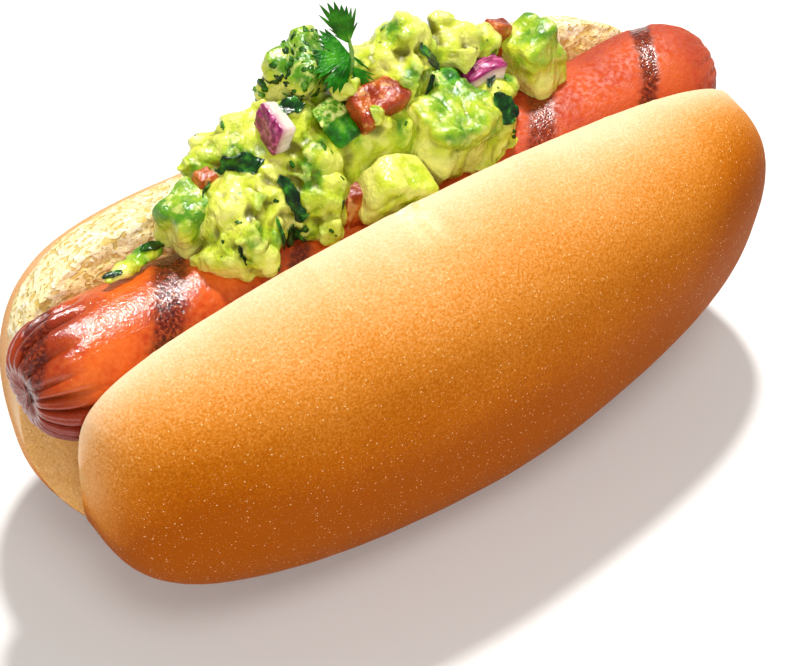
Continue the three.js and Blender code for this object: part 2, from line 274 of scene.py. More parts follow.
class Finish:
    """A material being built: one Principled shader, and short calls for the nodes that feed it."""

    def __init__(self, name, **fixed):
        self.material = bpy.data.materials.new(name)
        self.material.use_nodes = True
        self.nodes = self.material.node_tree.nodes
        self.links = self.material.node_tree.links
        self.shader = self.nodes["Principled BSDF"]
        self.place = self.nodes.new("ShaderNodeTexCoord").outputs["Object"]
        for socket, value in fixed.items():
            self.shader.inputs[socket.replace("_", " ")].default_value = value

    def feed(self, source, socket):
        """Wires a node's output to a socket, or sets the socket to a plain value."""
        if hasattr(source, "node"):
            self.links.new(source, socket)
        else:
            socket.default_value = source

    def set(self, socket, source):
        self.feed(source, self.shader.inputs[socket])

    def let_light_in(self, *reach):
        """How far red, green and blue light go under the surface, in millimetres."""
        self.shader.inputs["Subsurface Radius"].default_value = reach
        self.shader.inputs["Subsurface Scale"].default_value = MM

    def mark(self, name):
        node = self.nodes.new("ShaderNodeAttribute")
        node.attribute_name = name
        return node.outputs["Fac"]

    def effect(self, group, size, place, **numbers):
        """One of the two shared effects, with grains of a size in millimetres."""
        node = self.nodes.new("ShaderNodeGroup")
        node.node_tree = group
        self.feed(place or self.place, node.inputs["Vector"])
        node.inputs["Scale"].default_value = 1 / (size * MM)
        for socket, number in numbers.items():
            node.inputs[socket].default_value = number
        return node.outputs[0]

    def mottle(self, size, contrast, detail=4.0, place=None):
        return self.effect(mottle, size, place, Contrast=contrast, Detail=detail)

    def specks(self, size, radius, share):
        return self.effect(specks, size, None, Radius=radius, Share=share)

    def swing(self, size, contrast, detail=4.0):
        """A mottle that goes as far below zero as above it."""
        return self.math("SUBTRACT", self.mottle(size, contrast, detail), MIDDLE_GREY)

    def stretched(self, x, y, z):
        """Object coordinates scaled apart, for streaks."""
        node = self.nodes.new("ShaderNodeMapping")
        node.inputs["Scale"].default_value = (x, y, z)
        self.feed(self.place, node.inputs["Vector"])
        return node.outputs["Vector"]

    def math(self, operation, a, b, clamp=False):
        node = self.nodes.new("ShaderNodeMath")
        node.operation = operation
        node.use_clamp = clamp
        self.feed(a, node.inputs[0])
        self.feed(b, node.inputs[1])
        return node.outputs[0]

    def ramp(self, source, *stops):
        """A colour for each value of source. A stop is its place and its colour code."""
        node = self.nodes.new("ShaderNodeValToRGB")
        self.feed(source, node.inputs["Fac"])
        marks = node.color_ramp.elements
        while len(marks) < len(stops):
            marks.new(0.5)
        for mark, (place, code) in zip(marks, stops):
            mark.position = place
            mark.color = colour(code)
        return node.outputs["Color"]

    def levels(self, source, low, high, start=0.0, end=1.0):
        """From start to end while source goes from low to high, with soft turns."""
        node = self.nodes.new("ShaderNodeMapRange")
        node.interpolation_type = "SMOOTHSTEP"
        self.feed(source, node.inputs["Value"])
        for socket, value in zip(("From Min", "From Max", "To Min", "To Max"), (low, high, start, end)):
            node.inputs[socket].default_value = value
        return node.outputs["Result"]

    def mix(self, share, a, b):
        node = self.nodes.new("ShaderNodeMix")
        node.data_type = "RGBA"
        self.feed(share, node.inputs["Factor"])
        self.feed(colour(a) if isinstance(a, str) else a, node.inputs["A"])
        self.feed(colour(b) if isinstance(b, str) else b, node.inputs["B"])
        return node.outputs["Result"]

    def tint(self, base, mask, strength, code):
        """Lays a colour over the base where the mask is, as thickly as strength says."""
        return self.mix(self.math("MULTIPLY", mask, strength), base, code)

    def bump(self, *layers):
        """Bumps on top of each other. A layer is a height from 0 to 1 and its depth in millimetres."""
        normal = None
        for height, depth in layers:
            node = self.nodes.new("ShaderNodeBump")
            node.inputs["Distance"].default_value = depth * MM
            node.inputs["Strength"].default_value = 1.0
            self.feed(height, node.inputs["Height"])
            if normal is not None:
                self.feed(normal, node.inputs["Normal"])
            normal = node.outputs["Normal"]
        self.set("Normal", normal)


def dress(piece, finish, slot, *nodes):
    """Gives a piece its material, hangs it from the root, and hides the solids of the part that it stands for."""
    piece.data.materials.clear()
    piece.data.materials.append(finish.material)
    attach(piece, "root")
    if nodes:
        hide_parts(*nodes)
    print(f"{piece.name}: {len(piece.data.polygons)} faces")


# %% [markdown]
# ## The sausage
# A grilled frankfurter is a tube with domed ends. Where the casing was tied, its skin gathers in
# deep folds that meet in a dimple. It could be a cylinder with bevelled caps, but the folds need
# points that run into the pole, so it is a closed skin whose radius follows a rule. Each fold is a
# sharp valley between round ridges, and it fades out at its own distance from the tip.

# %% Sausage: sizes and shape
LENGTH = 146
RADIUS = 11.6
CENTRE_Y = 5.169
CENTRE_Z = 47.414
END_LIFT = 3  # how much higher its ends lie than its middle
CAP_LENGTHS = (11.5, 17)  # the left end and the right end
CAP_SQUARENESS = 2.25
CAP_SHARE = 0.3  # the share of the rings that lies in one cap
PUCKERS = 17
GATHER_REACH = (17, 12)  # how far from its tip the casing is gathered, in millimetres
GATHER_DEPTHS = (0.3, 0.1)  # as a share of the radius
DIMPLE = 1.8
SAUSAGE_RINGS, SAUSAGE_SPOKES = 280, 18 * PUCKERS


def casing_folds(around, x, towards_pole, by_end):
    """How deep each point lies in a fold of the casing, and how gathered the casing is there."""
    turn = 0.7 * np.sin(2 * around) + 0.5 * towards_pole * by_end(1, -1) + 0.5 * np.sin(5 * around)
    large_ridge = np.abs(np.sin(PUCKERS * around / 2 + turn)) ** 0.55
    small_ridge = np.abs(np.sin(PUCKERS * around + 1.7 * turn + 0.6)) ** 0.6
    fold = 0.8 * (1 - large_ridge) + 0.35 * (1 - small_ridge) * towards_pole
    towards_tip = np.clip(1 - (LENGTH / 2 - x) / by_end(*GATHER_REACH), 0, 1)
    starts = 0.34 + 0.3 * np.sin(3 * around + 1.0)
    low = by_end(np.maximum(0, starts - 0.25), 0.2)
    high = by_end(starts + 0.4, 1)
    return fold, smooth_step(towards_tip, low, high)


def sausage_base(along, around):
    """Points of the sausage, how deep in a crease each of them lies, and how gathered it is."""
    far = along > 0.5

    def by_end(left, right):
        return np.where(far, right, left)

    sign = by_end(-1, 1)
    cap = by_end(*CAP_LENGTHS)
    barrel = LENGTH / 2 - cap
    from_pole = np.where(far, 1 - along, along)
    in_cap = from_pole < CAP_SHARE
    angle = np.where(in_cap, from_pole / CAP_SHARE, 1) * math.pi / 2
    x = np.where(
        in_cap,
        barrel + cap * squared(np.cos(angle), CAP_SQUARENESS),
        barrel * (1 - (from_pole - CAP_SHARE) / (0.5 - CAP_SHARE)),
    )
    wave_along = 0.018 * np.sin(0.11 * x * sign + 0.6)
    wave_around = 0.012 * np.sin(2 * around + 0.05 * x * sign)
    radius = RADIUS * np.where(in_cap, squared(np.sin(angle), CAP_SQUARENESS), 1)
    radius = radius * (1 + wave_along + wave_around)
    towards_pole = np.where(in_cap, 1 - from_pole / CAP_SHARE, 0)
    fold, gathered = casing_folds(around, x, towards_pole, by_end)
    radius = radius * (1 - fold * gathered * by_end(*GATHER_DEPTHS))
    x = x - DIMPLE * smooth_step(towards_pole, 0.62, 1)
    crease = np.clip(1.1 * fold, 0, 1) ** 2 * gathered * by_end(1, 0.5)
    t = x / (LENGTH / 2)
    points = np.stack(
        [
            sign * x,
            CENTRE_Y + radius * np.cos(around),
            CENTRE_Z + END_LIFT * t * t + radius * np.sin(around),
        ],
        axis=1,
    )
    return points, crease, gathered * by_end(1, 0.2)


along, around = skin_grid(SAUSAGE_RINGS, SAUSAGE_SPOKES)
points, crease, gathered = sausage_base(along, around)
print("the sausage has", len(points), "points")

# %% [markdown]
# The grill's bars lie a fixed distance apart and cross the sausage at a slant. Going round from the
# top, a stripe moves along the sausage, and it fades where the skin turned away from the bars. The
# stripes are a mark that the material reads, and the skin sinks a little where it was burnt.

# %% Sausage: grill stripes and skin
STRIPES_AT_TOP = (-69.0, -43.4, -17.5, 8.0, 33.8, 57.8)
STRIPE_WIDTHS = (5.6, 6.4, 4.5, 4.5, 6.0, 4.2)
STRIPE_STRENGTHS = (0.9, 1.0, 0.9, 0.9, 0.8, 0.95)
STRIPE_SLANT = -8.0  # millimetres along for each radian round
STRIPE_SINK = 0.22
STRIPE_EDGE = (0.36, 0.62)  # where a stripe starts to fade and where it ends, in widths

turned = np.arctan2(points[:, 2] - CENTRE_Z, points[:, 1] - CENTRE_Y) - math.pi / 2
turned = (turned + math.pi) % (2 * math.pi) - math.pi
wander = 0.5 * bumps(points, 6, 3) + 0.45 * bumps(points, 1.7, 4) + 0.3 * bumps(points, 0.8, 9)
stripe = np.zeros(len(points))
for at_top, width, strength in zip(STRIPES_AT_TOP, STRIPE_WIDTHS, STRIPE_STRENGTHS):
    offset = np.abs(points[:, 0] - at_top - STRIPE_SLANT * turned + wander)
    fade = smooth_step(offset, width * STRIPE_EDGE[0], width * STRIPE_EDGE[1])
    stripe = np.maximum(stripe, strength * (1 - fade))
stripe *= 1 - smooth_step(np.abs(turned), 1.0, 1.45)

sausage = make_piece("sausage_grilled", points, skin_faces(SAUSAGE_RINGS, SAUSAGE_SPOKES))
uneven = 0.12 * bumps(points, 10, 5) + 0.05 * bumps(points, 2.4, 7)
blisters = 0.09 * np.maximum(0, bumps(points, 1.3, 6)) ** 2 * (0.4 + stripe)
raise_skin(sausage, uneven + blisters - STRIPE_SINK * stripe)
write_mark(sausage, "stripe", stripe)
# the crease mark is used for painted shade in the folds of the gathered casing
write_mark(sausage, "crease", crease)
write_mark(sausage, "gathered", gathered)
write_mark(sausage, "dry", smooth_step(points[:, 0] + 8 * bumps(points, 9, 8), -25, 15))
# painted shade: the low mark darkens the underside of the sausage
write_mark(sausage, "low", smooth_step(CENTRE_Z - points[:, 2], -9.5, 2))
print("stripes cover", round(float(stripe.mean()) * 100), "percent of the skin")

# %% [markdown]
# The casing is orange-red. Its underside is painted darker and redder, as painted shade, and its
# creases are painted dark, as painted shade. It is wet with fat towards the gathered end and drier
# towards the other, so its roughness grows along the sausage, in patches. The char has a low
# roughness again, and a little of the skin's red shows through it.

# %% Sausage: its finish
skin = Finish("sausage_skin", Specular_IOR_Level=0.6)
base = skin.ramp(skin.mottle(10, 2.2), (0.15, "#A83008"), (0.5, "#C8480E"), (0.9, "#DE6218"))
base = skin.tint(base, skin.mottle(1.0, 3.0), 0.3, "#E88238")
base = skin.tint(base, skin.mark("dry"), 0.5, "#B03006")
# painted shade: the underside is tinted a darker red
base = skin.tint(base, skin.mark("low"), 0.9, "#7C1603")
base = skin.tint(base, skin.mark("gathered"), 0.75, "#801B06")
# painted shade: the creases of the gathered end are painted nearly black-red
base = skin.tint(base, skin.mark("crease"), 0.95, "#300604")
char = skin.ramp(skin.mottle(0.6, 2.6), (0.2, "#420F05"), (0.6, "#6E210C"), (1.0, "#A64822"))
patchy_char = skin.levels(skin.mottle(0.7, 3.0), 0.05, 0.6, 0.82, 1.0)
burnt = skin.math("MULTIPLY", skin.mark("stripe"), patchy_char)
skin.set("Base Color", skin.mix(burnt, base, char))
wet = skin.levels(skin.mottle(1.5, 3.0), 0.0, 1.0, 0.07, 0.18)
patches = skin.levels(skin.mottle(0.9, 3.0), 0.1, 0.8, 0.85, 0.42)
unburnt = skin.math("SUBTRACT", 1.0, skin.mark("stripe"), clamp=True)
dry = skin.math("MULTIPLY", skin.math("MULTIPLY", skin.mark("dry"), patches), unburnt)
skin.set("Roughness", skin.math("ADD", wet, dry))
skin.bump((skin.mottle(2.4, 2.0), 0.05), (skin.mottle(0.8, 2.4), 0.05), (skin.mottle(0.4, 2.2), 0.035))
dress(sausage, skin, "sausage_skin", "sausage")

# %% [markdown]
# ## The bun
# A hot dog bun is a soft loaf, cut nearly through from the top. Each half is a dome on a flat cut
# face that leans outwards, and the two are still joined at the fold. The dome has a thin golden
# crust, pale along the cut edge and browner down the side. The cut face shows open crumb. One skin
# makes a whole half: its points go round from the crust over the edge to the crumb, with more of
# them on the crumb, where the pores are. A mark on each point says which of the two it is.

# %% Bun: sizes
BUN_LENGTH = 141
BUN_HEIGHT = 62.6
FOLD_HEIGHT = 4.7
CUT_FACE_BULGE = 0.8
HEIGHT_SQUARENESS = 2.7
THICKNESS_SQUARENESS = 2.9
# middle is how high the middle of a half lies above the fold, foot is how much further it reaches
# down, and shift is how far it lies along. An end has the power by which the loaf gets thinner and
# how blunt it is. crumb_reach is how far crumb comes over the edge. The crust gets browner by
# bake_curve, and by end_bake at the ends. From the angle fine_from on, fine spokes are used.
FRONT = dict(
    side=-1, lean=math.radians(7.5), thickness=29.8, middle=29.6, foot=2.3, shift=2,
    left_end=(1.84, 4.2), right_end=(1.6, 3.35), crumb_reach=-0.8,
    end_bake=(0.35, 0.9), bake_curve=0.86, rings=260, fine_from=90, fine=80,
)
BACK = dict(
    side=1, lean=math.radians(21.3), thickness=28.7, middle=26.4, foot=-3.2, shift=-0.4,
    left_end=(6, 1.75), right_end=(6, 2.5), crumb_reach=12.0,
    end_bake=(-0.2, -0.4), bake_curve=1.25, rings=310, fine_from=58, fine=165,
)
COARSE_SPOKES = 80
print("the halves lean by", round(math.degrees(FRONT["lean"]), 1), "and", round(math.degrees(BACK["lean"]), 1))


# %% Bun: shape of a half
def fullness(t, left_end, right_end):
    """How full a loaf is at a place t along it, from 1 in the middle to 0 at its tips."""
    fall = np.where(t < 0, left_end[0], right_end[0])
    bluntness = np.where(t < 0, left_end[1], right_end[1])
    return np.maximum(0, 1 - np.abs(t) ** fall) ** (1 / bluntness)


def half_points(half, along, around):
    t = -np.cos(math.pi * along)
    full = fullness(t, half["left_end"], half["right_end"])
    outward, upward = np.cos(around), np.sin(around)
    reach = BUN_HEIGHT / 2 + np.where(upward < 0, half["foot"], 0)
    height = half["middle"] + END_LIFT * t * t + full * reach * squared(upward, HEIGHT_SQUARENESS)
    depth = np.where(outward > 0, half["thickness"], CUT_FACE_BULGE)
    thickness = full * depth * squared(outward, THICKNESS_SQUARENESS)
    lean = half["lean"]
    return np.stack(
        [
            half["shift"] + t * BUN_LENGTH / 2,
            half["side"] * (height * math.sin(lean) + thickness * math.cos(lean)),
            FOLD_HEIGHT + height * math.cos(lean) - thickness * math.sin(lean),
        ],
        axis=1,
    )


# %% [markdown]
# Equal steps of angle would crowd the points in the corners of the cross-section and leave long
# faces on its flat sides. So the way round the cross-section is measured first, in small steps, and
# the angles are then read off at equal distances.

# %% Bun: points at equal distances
SMALL_STEPS = 4000


def outline_run(angles, thickness):
    """How far round the full cross-section of a half each of these angles lies, in millimetres."""
    depth = np.where(np.cos(angles) > 0, thickness, CUT_FACE_BULGE)
    across = depth * squared(np.cos(angles), THICKNESS_SQUARENESS)
    height = BUN_HEIGHT / 2 * squared(np.sin(angles), HEIGHT_SQUARENESS)
    return np.concatenate([[0], np.cumsum(np.hypot(np.diff(across), np.diff(height)))])


def even_angles(start, end, number, thickness):
    """Angles from start to end, in degrees, whose points lie evenly round the cross-section."""
    angles = np.linspace(math.radians(start), math.radians(end), SMALL_STEPS)
    run = outline_run(angles, thickness)
    return np.interp(np.arange(number) / number * run[-1], run, angles)


# %% [markdown]
# Bread gives way to the sausage. Each point that would be inside the sausage is moved straight out
# from its axis to just beyond its skin, so that the two touch without cutting through each other.

# %% Bun: room for the sausage
SAUSAGE_ROOM = 0.12
NEAR_AXIS = 0.5


def press_in(points):
    """Moves points that are inside the sausage out to its skin, as soft bread gives way."""
    t = points[:, 0] / (LENGTH / 2)
    middle_z = CENTRE_Z + END_LIFT * t * t
    off_y, off_z = points[:, 1] - CENTRE_Y, points[:, 2] - middle_z
    distance = np.hypot(off_y, off_z)
    over = (np.abs(points[:, 0]) - (LENGTH / 2 - CAP_LENGTHS[0])) / CAP_LENGTHS[0]
    cap_radius = RADIUS * np.sqrt(np.clip(1 - np.clip(over, 0, 1) ** 2, 0, 1))
    wanted = np.maximum(distance, cap_radius * (np.abs(points[:, 0]) < LENGTH / 2) + SAUSAGE_ROOM)
    grow = np.where(distance > NEAR_AXIS, wanted / np.maximum(distance, NEAR_AXIS), 1)
    moved = points.copy()
    moved[:, 1] = CENTRE_Y + off_y * grow
    moved[:, 2] = middle_z + off_z * grow
    return moved


# %% [markdown]
# Crumb is a foam of torn bubbles, drawn out along the loaf. Two sizes of pore are sunk into the
# face: a few large ones, and many small ones between them. How deep a point lies in its pores is
# kept as a mark too, for painted shade: the material paints the pores darker and yellower than the
# torn ridges.

# %% Bun: crumb and crust relief
LARGE_PORES, SMALL_PORES = 2.3, 1.15
PORE_DEPTH = 0.6


def relief(points, crumb):
    """How deep each point lies in a pore, and how far it stands out, in millimetres."""
    drawn_out = points * np.array([0.6, 1, 1])
    large = np.exp(-((pores(drawn_out, LARGE_PORES, 12) / 0.38) ** 2))
    small = np.exp(-((pores(drawn_out, SMALL_PORES, 13) / 0.36) ** 2))
    pit = np.clip(0.9 * large * smooth_step(bumps(points, 7, 15), -0.4, 0.5) + 0.6 * small, 0, 1)
    torn = 0.28 * bumps(drawn_out, 6, 14) + 0.14 * bumps(drawn_out, 1.7, 16)
    on_crumb = torn - PORE_DEPTH * pit + 0.2
    on_crust = 0.3 * bumps(points, 30, 17) + 0.05 * bumps(points, 7, 18) + 0.02 * bumps(points, 1.8, 19)
    return pit * crumb, crumb * on_crumb + (1 - crumb) * on_crust


def finish_bread(piece, crumb, bake, strength=1.0):
    """Gives the bread its relief and its marks, presses the sausage in, and stands it on the floor."""
    pit, heights = relief(read_points(piece), crumb)
    raise_skin(piece, strength * heights)
    moved = press_in(read_points(piece))
    moved[:, 2] = np.maximum(moved[:, 2], UNDER_MIDDLE[2])
    write_points(piece, moved)
    # the pit mark is read by the material as painted shade in the pores
    for mark, values in (("crumb", crumb), ("pit", pit), ("bake", bake)):
        write_mark(piece, mark, values)


# %% [markdown]
# The oven browns what stands out, so the crust gets browner with its distance from the cut edge. On
# the cut face the crumb stops before the ends, which are baked as well, under a crust so thin that
# crumb shows through. The edge between crumb and crust wanders, because bread tears.

# %% Bun: crumb, bake and the two halves
BROWNING_RUN = 52  # how far from the cut edge the crust is fully brown
TIP_BAKE = 0.3
CUT_FACE_BAKE = 0.42
THIN_CRUST = 0.3


def crumb_and_bake(half, along, drawn, points):
    """How much each point of a half is crumb, and how brown it is, both from 0 to 1."""
    t = -np.cos(math.pi * along)
    round_once = np.linspace(-math.pi / 2, 1.5 * math.pi, SMALL_STEPS)
    run = outline_run(round_once, half["thickness"])
    wrapped = (drawn + math.pi / 2) % (2 * math.pi) - math.pi / 2
    past_edge = np.interp(wrapped, round_once, run) - np.interp(math.pi / 2, round_once, run)
    on_cut_face = smooth_step(past_edge, 0, 6)
    wander = 1.2 * bumps(points, 8, 21) + 0.5 * bumps(points, 2, 22)
    inside = np.minimum(half["crumb_reach"] + past_edge, (0.93 - np.abs(t)) * BUN_LENGTH / 2)
    inside = np.minimum(inside, np.sin(drawn) * BUN_HEIGHT / 2 - 6 + 22 * (1 - np.abs(t)))
    crumb = np.maximum(smooth_step(inside + wander, -0.7, 0.7), THIN_CRUST * on_cut_face)
    at_end = smooth_step(np.abs(t), 0.5, 0.95)
    more = 1 + np.where(t < 0, *half["end_bake"]) * at_end
    bake = (np.maximum(0, -past_edge) / BROWNING_RUN) ** half["bake_curve"] * more
    full = fullness(t, half["left_end"], half["right_end"]) + 0.05 * bumps(points, 9, 23)
    at_tip = 1 - smooth_step(full, 0.05, 0.85)
    bake = bake * (1 - at_tip) + np.minimum(bake, TIP_BAKE) * at_tip
    bake = bake * (1 - on_cut_face) + CUT_FACE_BAKE * on_cut_face
    return crumb, np.clip(bake, 0, 1)


def make_half(name, half):
    coarse = even_angles(-90, half["fine_from"], COARSE_SPOKES, half["thickness"])
    fine = even_angles(half["fine_from"], 270, half["fine"], half["thickness"])
    angles = np.concatenate([coarse, fine])
    along, around = skin_grid(half["rings"], len(angles), angles)
    drawn = around if half["side"] > 0 else math.pi - around
    points = half_points(half, along, drawn)
    piece = make_piece(name, points, skin_faces(half["rings"], len(angles)))
    finish_bread(piece, *crumb_and_bake(half, along, drawn, points))
    return piece


front_half = make_half("bun_front", FRONT)
back_half = make_half("bun_back", BACK)
print("the halves have", [len(half.data.vertices) for half in (front_half, back_half)], "points")

# %% [markdown]
# Under the sausage the crumb was never cut. A wedge of it fills the space between the cut faces,
# and at the ends of the bun it stops short, which leaves the dark crease that the fold shows there.

# %% Bun: the fold
HALF_OPENING = (FRONT["lean"] + BACK["lean"]) / 2
SPLIT_LEAN = (BACK["lean"] - FRONT["lean"]) / 2
CREASE_DEPTH = 9
CRADLE = 5
FOLD_BOTTOM = 2
FOLD_OVERLAP = 2.5
FOLD_END = (4, 2.6)
FOLD_SQUARENESS = 3
FOLD_RINGS, FOLD_SPOKES = 90, 60

along, around = skin_grid(FOLD_RINGS, FOLD_SPOKES)
t = -np.cos(math.pi * along)
full = fullness(t, FOLD_END, FOLD_END)
top = CENTRE_Z - RADIUS + CRADLE
half_height = full * (top - FOLD_BOTTOM) / 2
z = (top + FOLD_BOTTOM) / 2 + END_LIFT * t * t + half_height * squared(np.sin(around), FOLD_SQUARENESS)
rise = np.maximum(0, z - FOLD_HEIGHT)
width = rise * math.tan(HALF_OPENING) + FOLD_OVERLAP
y = rise * math.tan(SPLIT_LEAN) + full * width * squared(np.cos(around), FOLD_SQUARENESS)
points = np.stack([t * (BUN_LENGTH / 2 - CREASE_DEPTH), y, z], axis=1)
fold = make_piece("bun_fold", points, skin_faces(FOLD_RINGS, FOLD_SPOKES))
finish_bread(fold, np.full(len(points), 0.6), np.full(len(points), 0.3), 0.5)
print("the fold is", round(float(np.ptp(z))), "mm high")

# %% [markdown]
# The finish of the bun mixes two looks by the crumb mark. The crust runs from cream at the cut edge
# through gold to brown, with a fine grain of pale dots. The crumb is a warm cream, its pores are
# painted darker and yellower as painted shade, and it has no shine at all.

# %% Bun: its finish
bread = Finish("bun_crust_and_crumb", Specular_IOR_Level=0.02)
uneven = bread.math("MULTIPLY", bread.swing(20, 1.6), 0.14)
grain_strength = bread.levels(bread.mark("bake"), 0.0, 0.4, 0.08, 0.27)
grain = bread.math("MULTIPLY", bread.swing(0.42, 2.4, 2.0), grain_strength)
tone = bread.math("ADD", bread.math("ADD", bread.mark("bake"), uneven), grain)
crust = bread.ramp(
    tone,
    (0.02, "#F6D1A8"), (0.14, "#EEB882"), (0.28, "#E19E5A"),
    (0.48, "#CF7F2A"), (0.7, "#B7620A"), (0.95, "#9E4C02"),
)
crust = bread.tint(crust, bread.specks(0.9, 0.14, 0.5), 0.65, "#FFDFA4")
crust = bread.tint(crust, bread.specks(0.5, 0.17, 0.6), 0.35, "#FFD28C")
along_loaf = bread.stretched(0.75, 1.0, 1.0)
# painted shade: pits from a mottle, darker where the bump sinks the crumb
large_pits = bread.levels(bread.mottle(1.2, 3.2, 1.0, along_loaf), 0.64, 0.84, 0.0, 0.85)
small_pits = bread.levels(bread.mottle(0.6, 3.2, 1.0, along_loaf), 0.64, 0.84, 0.0, 0.5)
pits = bread.math("MULTIPLY", bread.math("ADD", large_pits, small_pits, clamp=True), bread.mark("crumb"))
open_crumb = bread.ramp(bread.mottle(3, 2.0), (0.2, "#FBE8AE"), (0.6, "#FFF4CE"), (0.9, "#FFFBE8"))
open_crumb = bread.mix(bread.levels(bread.mark("bake"), 0.05, 0.4, 0.0, 0.7), open_crumb, "#FEEC9C")
# painted shade in the pores of the crumb, from the pit mark and the pits
open_crumb = bread.tint(open_crumb, bread.mark("pit"), 0.55, "#E8C868")
open_crumb = bread.tint(open_crumb, pits, 0.8, "#D8B24A")
bread.set("Base Color", bread.mix(bread.mark("crumb"), crust, open_crumb))
bread.set("Roughness", bread.levels(bread.mark("crumb"), 0.0, 1.0, 0.5, 0.9))
bread.bump((bread.mottle(0.5, 2.5), 0.08), (bread.math("SUBTRACT", 1.0, pits), 0.22))
for piece in (back_half, front_half, fold):
    dress(piece, bread, "crust", "bun")

# %% [markdown]
# ## Lumps and blocks
# All the toppings start as the same thing: a soft block, round like an egg or nearly square like a
# diced cube. A block is drawn by direction: from its middle, each direction reaches out until it
# meets the block's wall. That keeps its points even and its skin closed, whatever its proportions.

# %% A soft block
def turn_matrix(turn):
    """The turns about X, Y and Z in degrees, Z first."""
    x, y, z = (math.radians(angle) for angle in turn)
    return np.array(Matrix.Rotation(x, 3, "X") @ Matrix.Rotation(y, 3, "Y") @ Matrix.Rotation(z, 3, "Z"))


def block_shape(half, squareness, uneven, seed, rings, spokes):
    """Points of a block about its own middle, and its faces."""
    along, around = skin_grid(rings, spokes)
    polar = math.pi * along
    way = np.stack([-np.cos(polar), np.sin(polar) * np.cos(around), np.sin(polar) * np.sin(around)], axis=1)
    reach = np.sum(np.abs(way / np.array(half)) ** squareness, axis=1) ** (-1 / squareness)
    wave = np.sin(4.1 * way[:, 0] + 2.3 * seed) * np.sin(3.7 * way[:, 1] + 1.1 + seed)
    wave += 0.6 * np.sin(6.3 * way[:, 2] + 1.7 * seed + 2.9 * way[:, 0])
    return way * (reach * (1 + uneven * wave))[:, None], skin_faces(rings, spokes)


def place_block(points, at, turn):
    return points @ turn_matrix(turn).T + np.array(at)


# %% [markdown]
# ## Where the toppings lie
# Every topping lies where the part has its solid. A chunk of avocado or a dice of tomato is a block:
# its middle, half sizes, turn in degrees and seed, and for a chunk also how green and how rough it
# is. Onion and pepper are pieces of a round wall: place, turn, outer radius, wall, degrees round,
# length and seed. The mash stays out of a sphere round each of them, and out of three more spheres
# in front of them, so that it doesn't bury them.

# %% Where the toppings lie
AVOCADOS = {
    "avocado_left": ((-35.7, 11.5, 64.6), (4.4, 4, 4.8), (8, -6, 12), 1, 1.7, 0.55),
    "avocado_front": ((-3.1, -1, 62.4), (5.6, 4, 5.4), (20, 18, -14), 2, 0.4, 0.42),
    "avocado_middle": ((11.6, 3.5, 64.8), (7.6, 6.2, 7), (14, 6, 10), 3, 0.75, 1.0),
    "avocado_right": ((36.4, 11, 64), (4.6, 4.4, 6.6), (-6, -12, 8), 4, 0.9, 0.6),
    "avocado_back": ((-8.1, 19, 76.4), (5.6, 4.4, 5), (10, 10, 20), 5, 1.5, 1.0),
}
TOMATOES = {
    "tomato_left": ((-30.9, 13, 69.3), (1.8, 1.6, 1.6), (0, 0, 0), 6),
    "tomato_front": ((-9.4, 2, 60.2), (2.6, 2.4, 4), (0, 0, 0), 7),
    "tomato_middle": ((-0.1, 9, 71.1), (5.4, 3.2, 5.2), (20, 10, 10), 8),
    "tomato_top": ((30.3, 15, 68.3), (2.4, 1.9, 3.8), (0, 24, 0), 9),
}
ONIONS = {
    "onion_left": ((-17.9, 12, 74.8), (0, -82, -14), 16, 3.6, 26, 7.2, 3),
    "onion_right": ((23.2, 9, 68.9), (0, 0, 0), 14, 3.6, 36, 5, 4),
}
PEPPERS = {
    "pepper_middle": ((-7.4, 8.8, 73), (35, 0, 10), 5, 2.4, 80, 8.4, 5),
    "pepper_right": ((14.4, 8, 71.8), (20, 10, 80), 4, 1.6, 80, 5.4, 6),
}
BLOCK_MARGIN = 0.4
WALL_PIECE_ROOM = 3.4
TOPPING_ROOM = [
    (at, sum(half) / 3 + BLOCK_MARGIN)
    for at, half, *_ in (*AVOCADOS.values(), *TOMATOES.values())
]
TOPPING_ROOM += [(at, WALL_PIECE_ROOM) for at, *_ in (*ONIONS.values(), *PEPPERS.values())]
TOPPING_ROOM += [((-7.2, 6.5, 70.5), 2.5), ((0.5, 6, 69), 3.0), ((22.5, 6, 68.5), 2.0)]
print("the mash leaves", len(TOPPING_ROOM), "spheres free")

# %% [markdown]
# ## The mash
# Guacamole is avocado crushed unevenly: soft mash with firmer lumps in it, wet all over. A few big
# lumps give the heap its form. Geometry Nodes then scatters small cubes of avocado over them,
# because that is what repeats, and a voxel remesh melts everything into one skin. Smoothing rounds
# the joints, and noise adds the folds that a spoon leaves.

